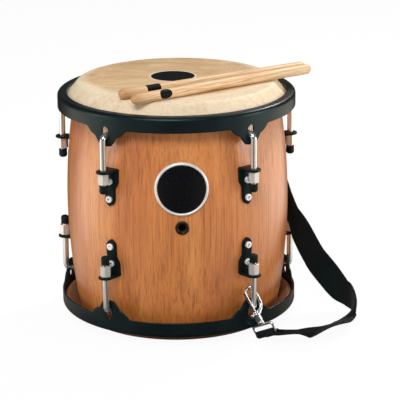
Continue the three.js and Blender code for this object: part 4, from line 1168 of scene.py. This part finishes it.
def floor_finish():
    """White to the camera, grey to plain light, and to a mirror a painted glow by direction and distance,
    with a painted shadow of the drum near its foot.
    """
    material, tree = new_finish("studio_floor")
    rays = put("LightPath", {}, tree).outputs
    seen, glossy = rays["Is Camera Ray"], rays["Is Glossy Ray"]
    away = put("VectorMath", {0: coords(tree)}, operation="NORMALIZE")
    way = parted(away.outputs["Vector"])
    # Painted light: the glow seen by mirrors is bright at the sides, dim in front and behind, and dim near
    # the drum's foot as a painted shadow.
    painted_side_glow = graded(absolute(way["X"]), [(0.16, 0.02), (0.55, 0.19), (0.84, 0.2), (0.97, 0.38)])
    before = graded(way["Y"], [(0.4, 1.0), (0.75, 0.06)])
    foot = graded(distance(coords(tree), (0, 0, 0)), [(0.21, 0.9), (0.36, 3.0)])
    painted_glow = times(times(painted_side_glow, before), foot)
    paper = put("BsdfDiffuse", {"Color": mixed(seen, (0.62, 0.62, 0.62), (0.95, 0.95, 0.95))})
    strength = times_plus(glossy, painted_glow, seen)
    glow = put("Emission", {"Color": mixed(glossy, WHITE, (1.0, 0.87, 0.74)), "Strength": strength})
    share = times_plus(seen, 0.94, glossy)
    blend = put("MixShader", {0: share, 1: paper.outputs[0], 2: glow.outputs[0]})
    put("OutputMaterial", {"Surface": blend.outputs[0]})
    return material


def soft_box(name, at, aim, width, height, watts, tint):
    """A rectangular lamp at a place, turned to face a point."""
    lamp = bpy.data.lights.new(name, "AREA")
    lamp.shape, lamp.size, lamp.size_y, lamp.energy, lamp.color = "RECTANGLE", width, height, watts, tint
    back = unit(np.subtract(at, aim))
    right = unit(np.cross((0, 0, 1), back))
    in_scene(name, lamp).matrix_world = Matrix(posed(right, np.cross(back, right), back, at).tolist())


floor_mesh = bpy.data.meshes.new("studio_floor")
floor_corners = [(x * FLOOR_HALF, y * FLOOR_HALF, 0) for x, y in ((-1, -1), (1, -1), (1, 1), (-1, 1))]
floor_mesh.from_pydata(floor_corners, [], [(0, 1, 2, 3)])
floor_mesh.materials.append(floor_finish())
floor = in_scene("studio_floor", floor_mesh)
floor.location.z = -FLOOR_DROP
floor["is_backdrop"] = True

world = bpy.data.worlds.new("studio")
bpy.context.scene.world = world
world.use_nodes = True
air = world.node_tree
air.nodes.clear()
ray = put("LightPath", {}, air).outputs
sky_level = times_plus(ray["Is Camera Ray"], 0.68, 0.32)
sky_level = times_plus(ray["Is Glossy Ray"], -0.24, sky_level)
sky = put("Background", {"Color": (*WHITE, 1), "Strength": sky_level})
put("OutputWorld", {"Surface": sky.outputs[0]})

soft_box("key", (1.15, 1.3, 1.75), (0, 0, 0.3), 0.12, 0.12, 33, SUN)
soft_box("left_box", (-0.5, 0.03, 0.10), (0, 0, 0.14), 0.3, 0.2, 0.24, GLOW)
soft_box("right_box", (0.5, 0.2, 0.10), (0, 0, 0.14), 0.46, 0.2, 0.36, GLOW)
soft_box("left_fill", (-1.6, -0.4, 0.4), (0, 0, 0.15), 0.6, 0.5, 6, LAMP)
soft_box("right_fill", (1.6, -0.4, 0.4), (0, 0, 0.15), 0.6, 0.5, 9.5, LAMP)
soft_box("fill", (-0.5, -2.0, 2.2), (0, 0, 0.2), 1.4, 1.0, 53, WHITE)
bpy.context.scene.view_settings.view_transform = "Standard"
print("lamps", len(bpy.data.lights))

# %% [markdown]
# Last, the visual model's box is set beside the measured one, so that any piece that has grown too
# far shows up at once.

# %% Sizes and end
low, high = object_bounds()
for model, box in (("solids", (*cad_low, *cad_high)), ("visual", (*low, *high))):
    print(model, [round(v, 4) for v in box])
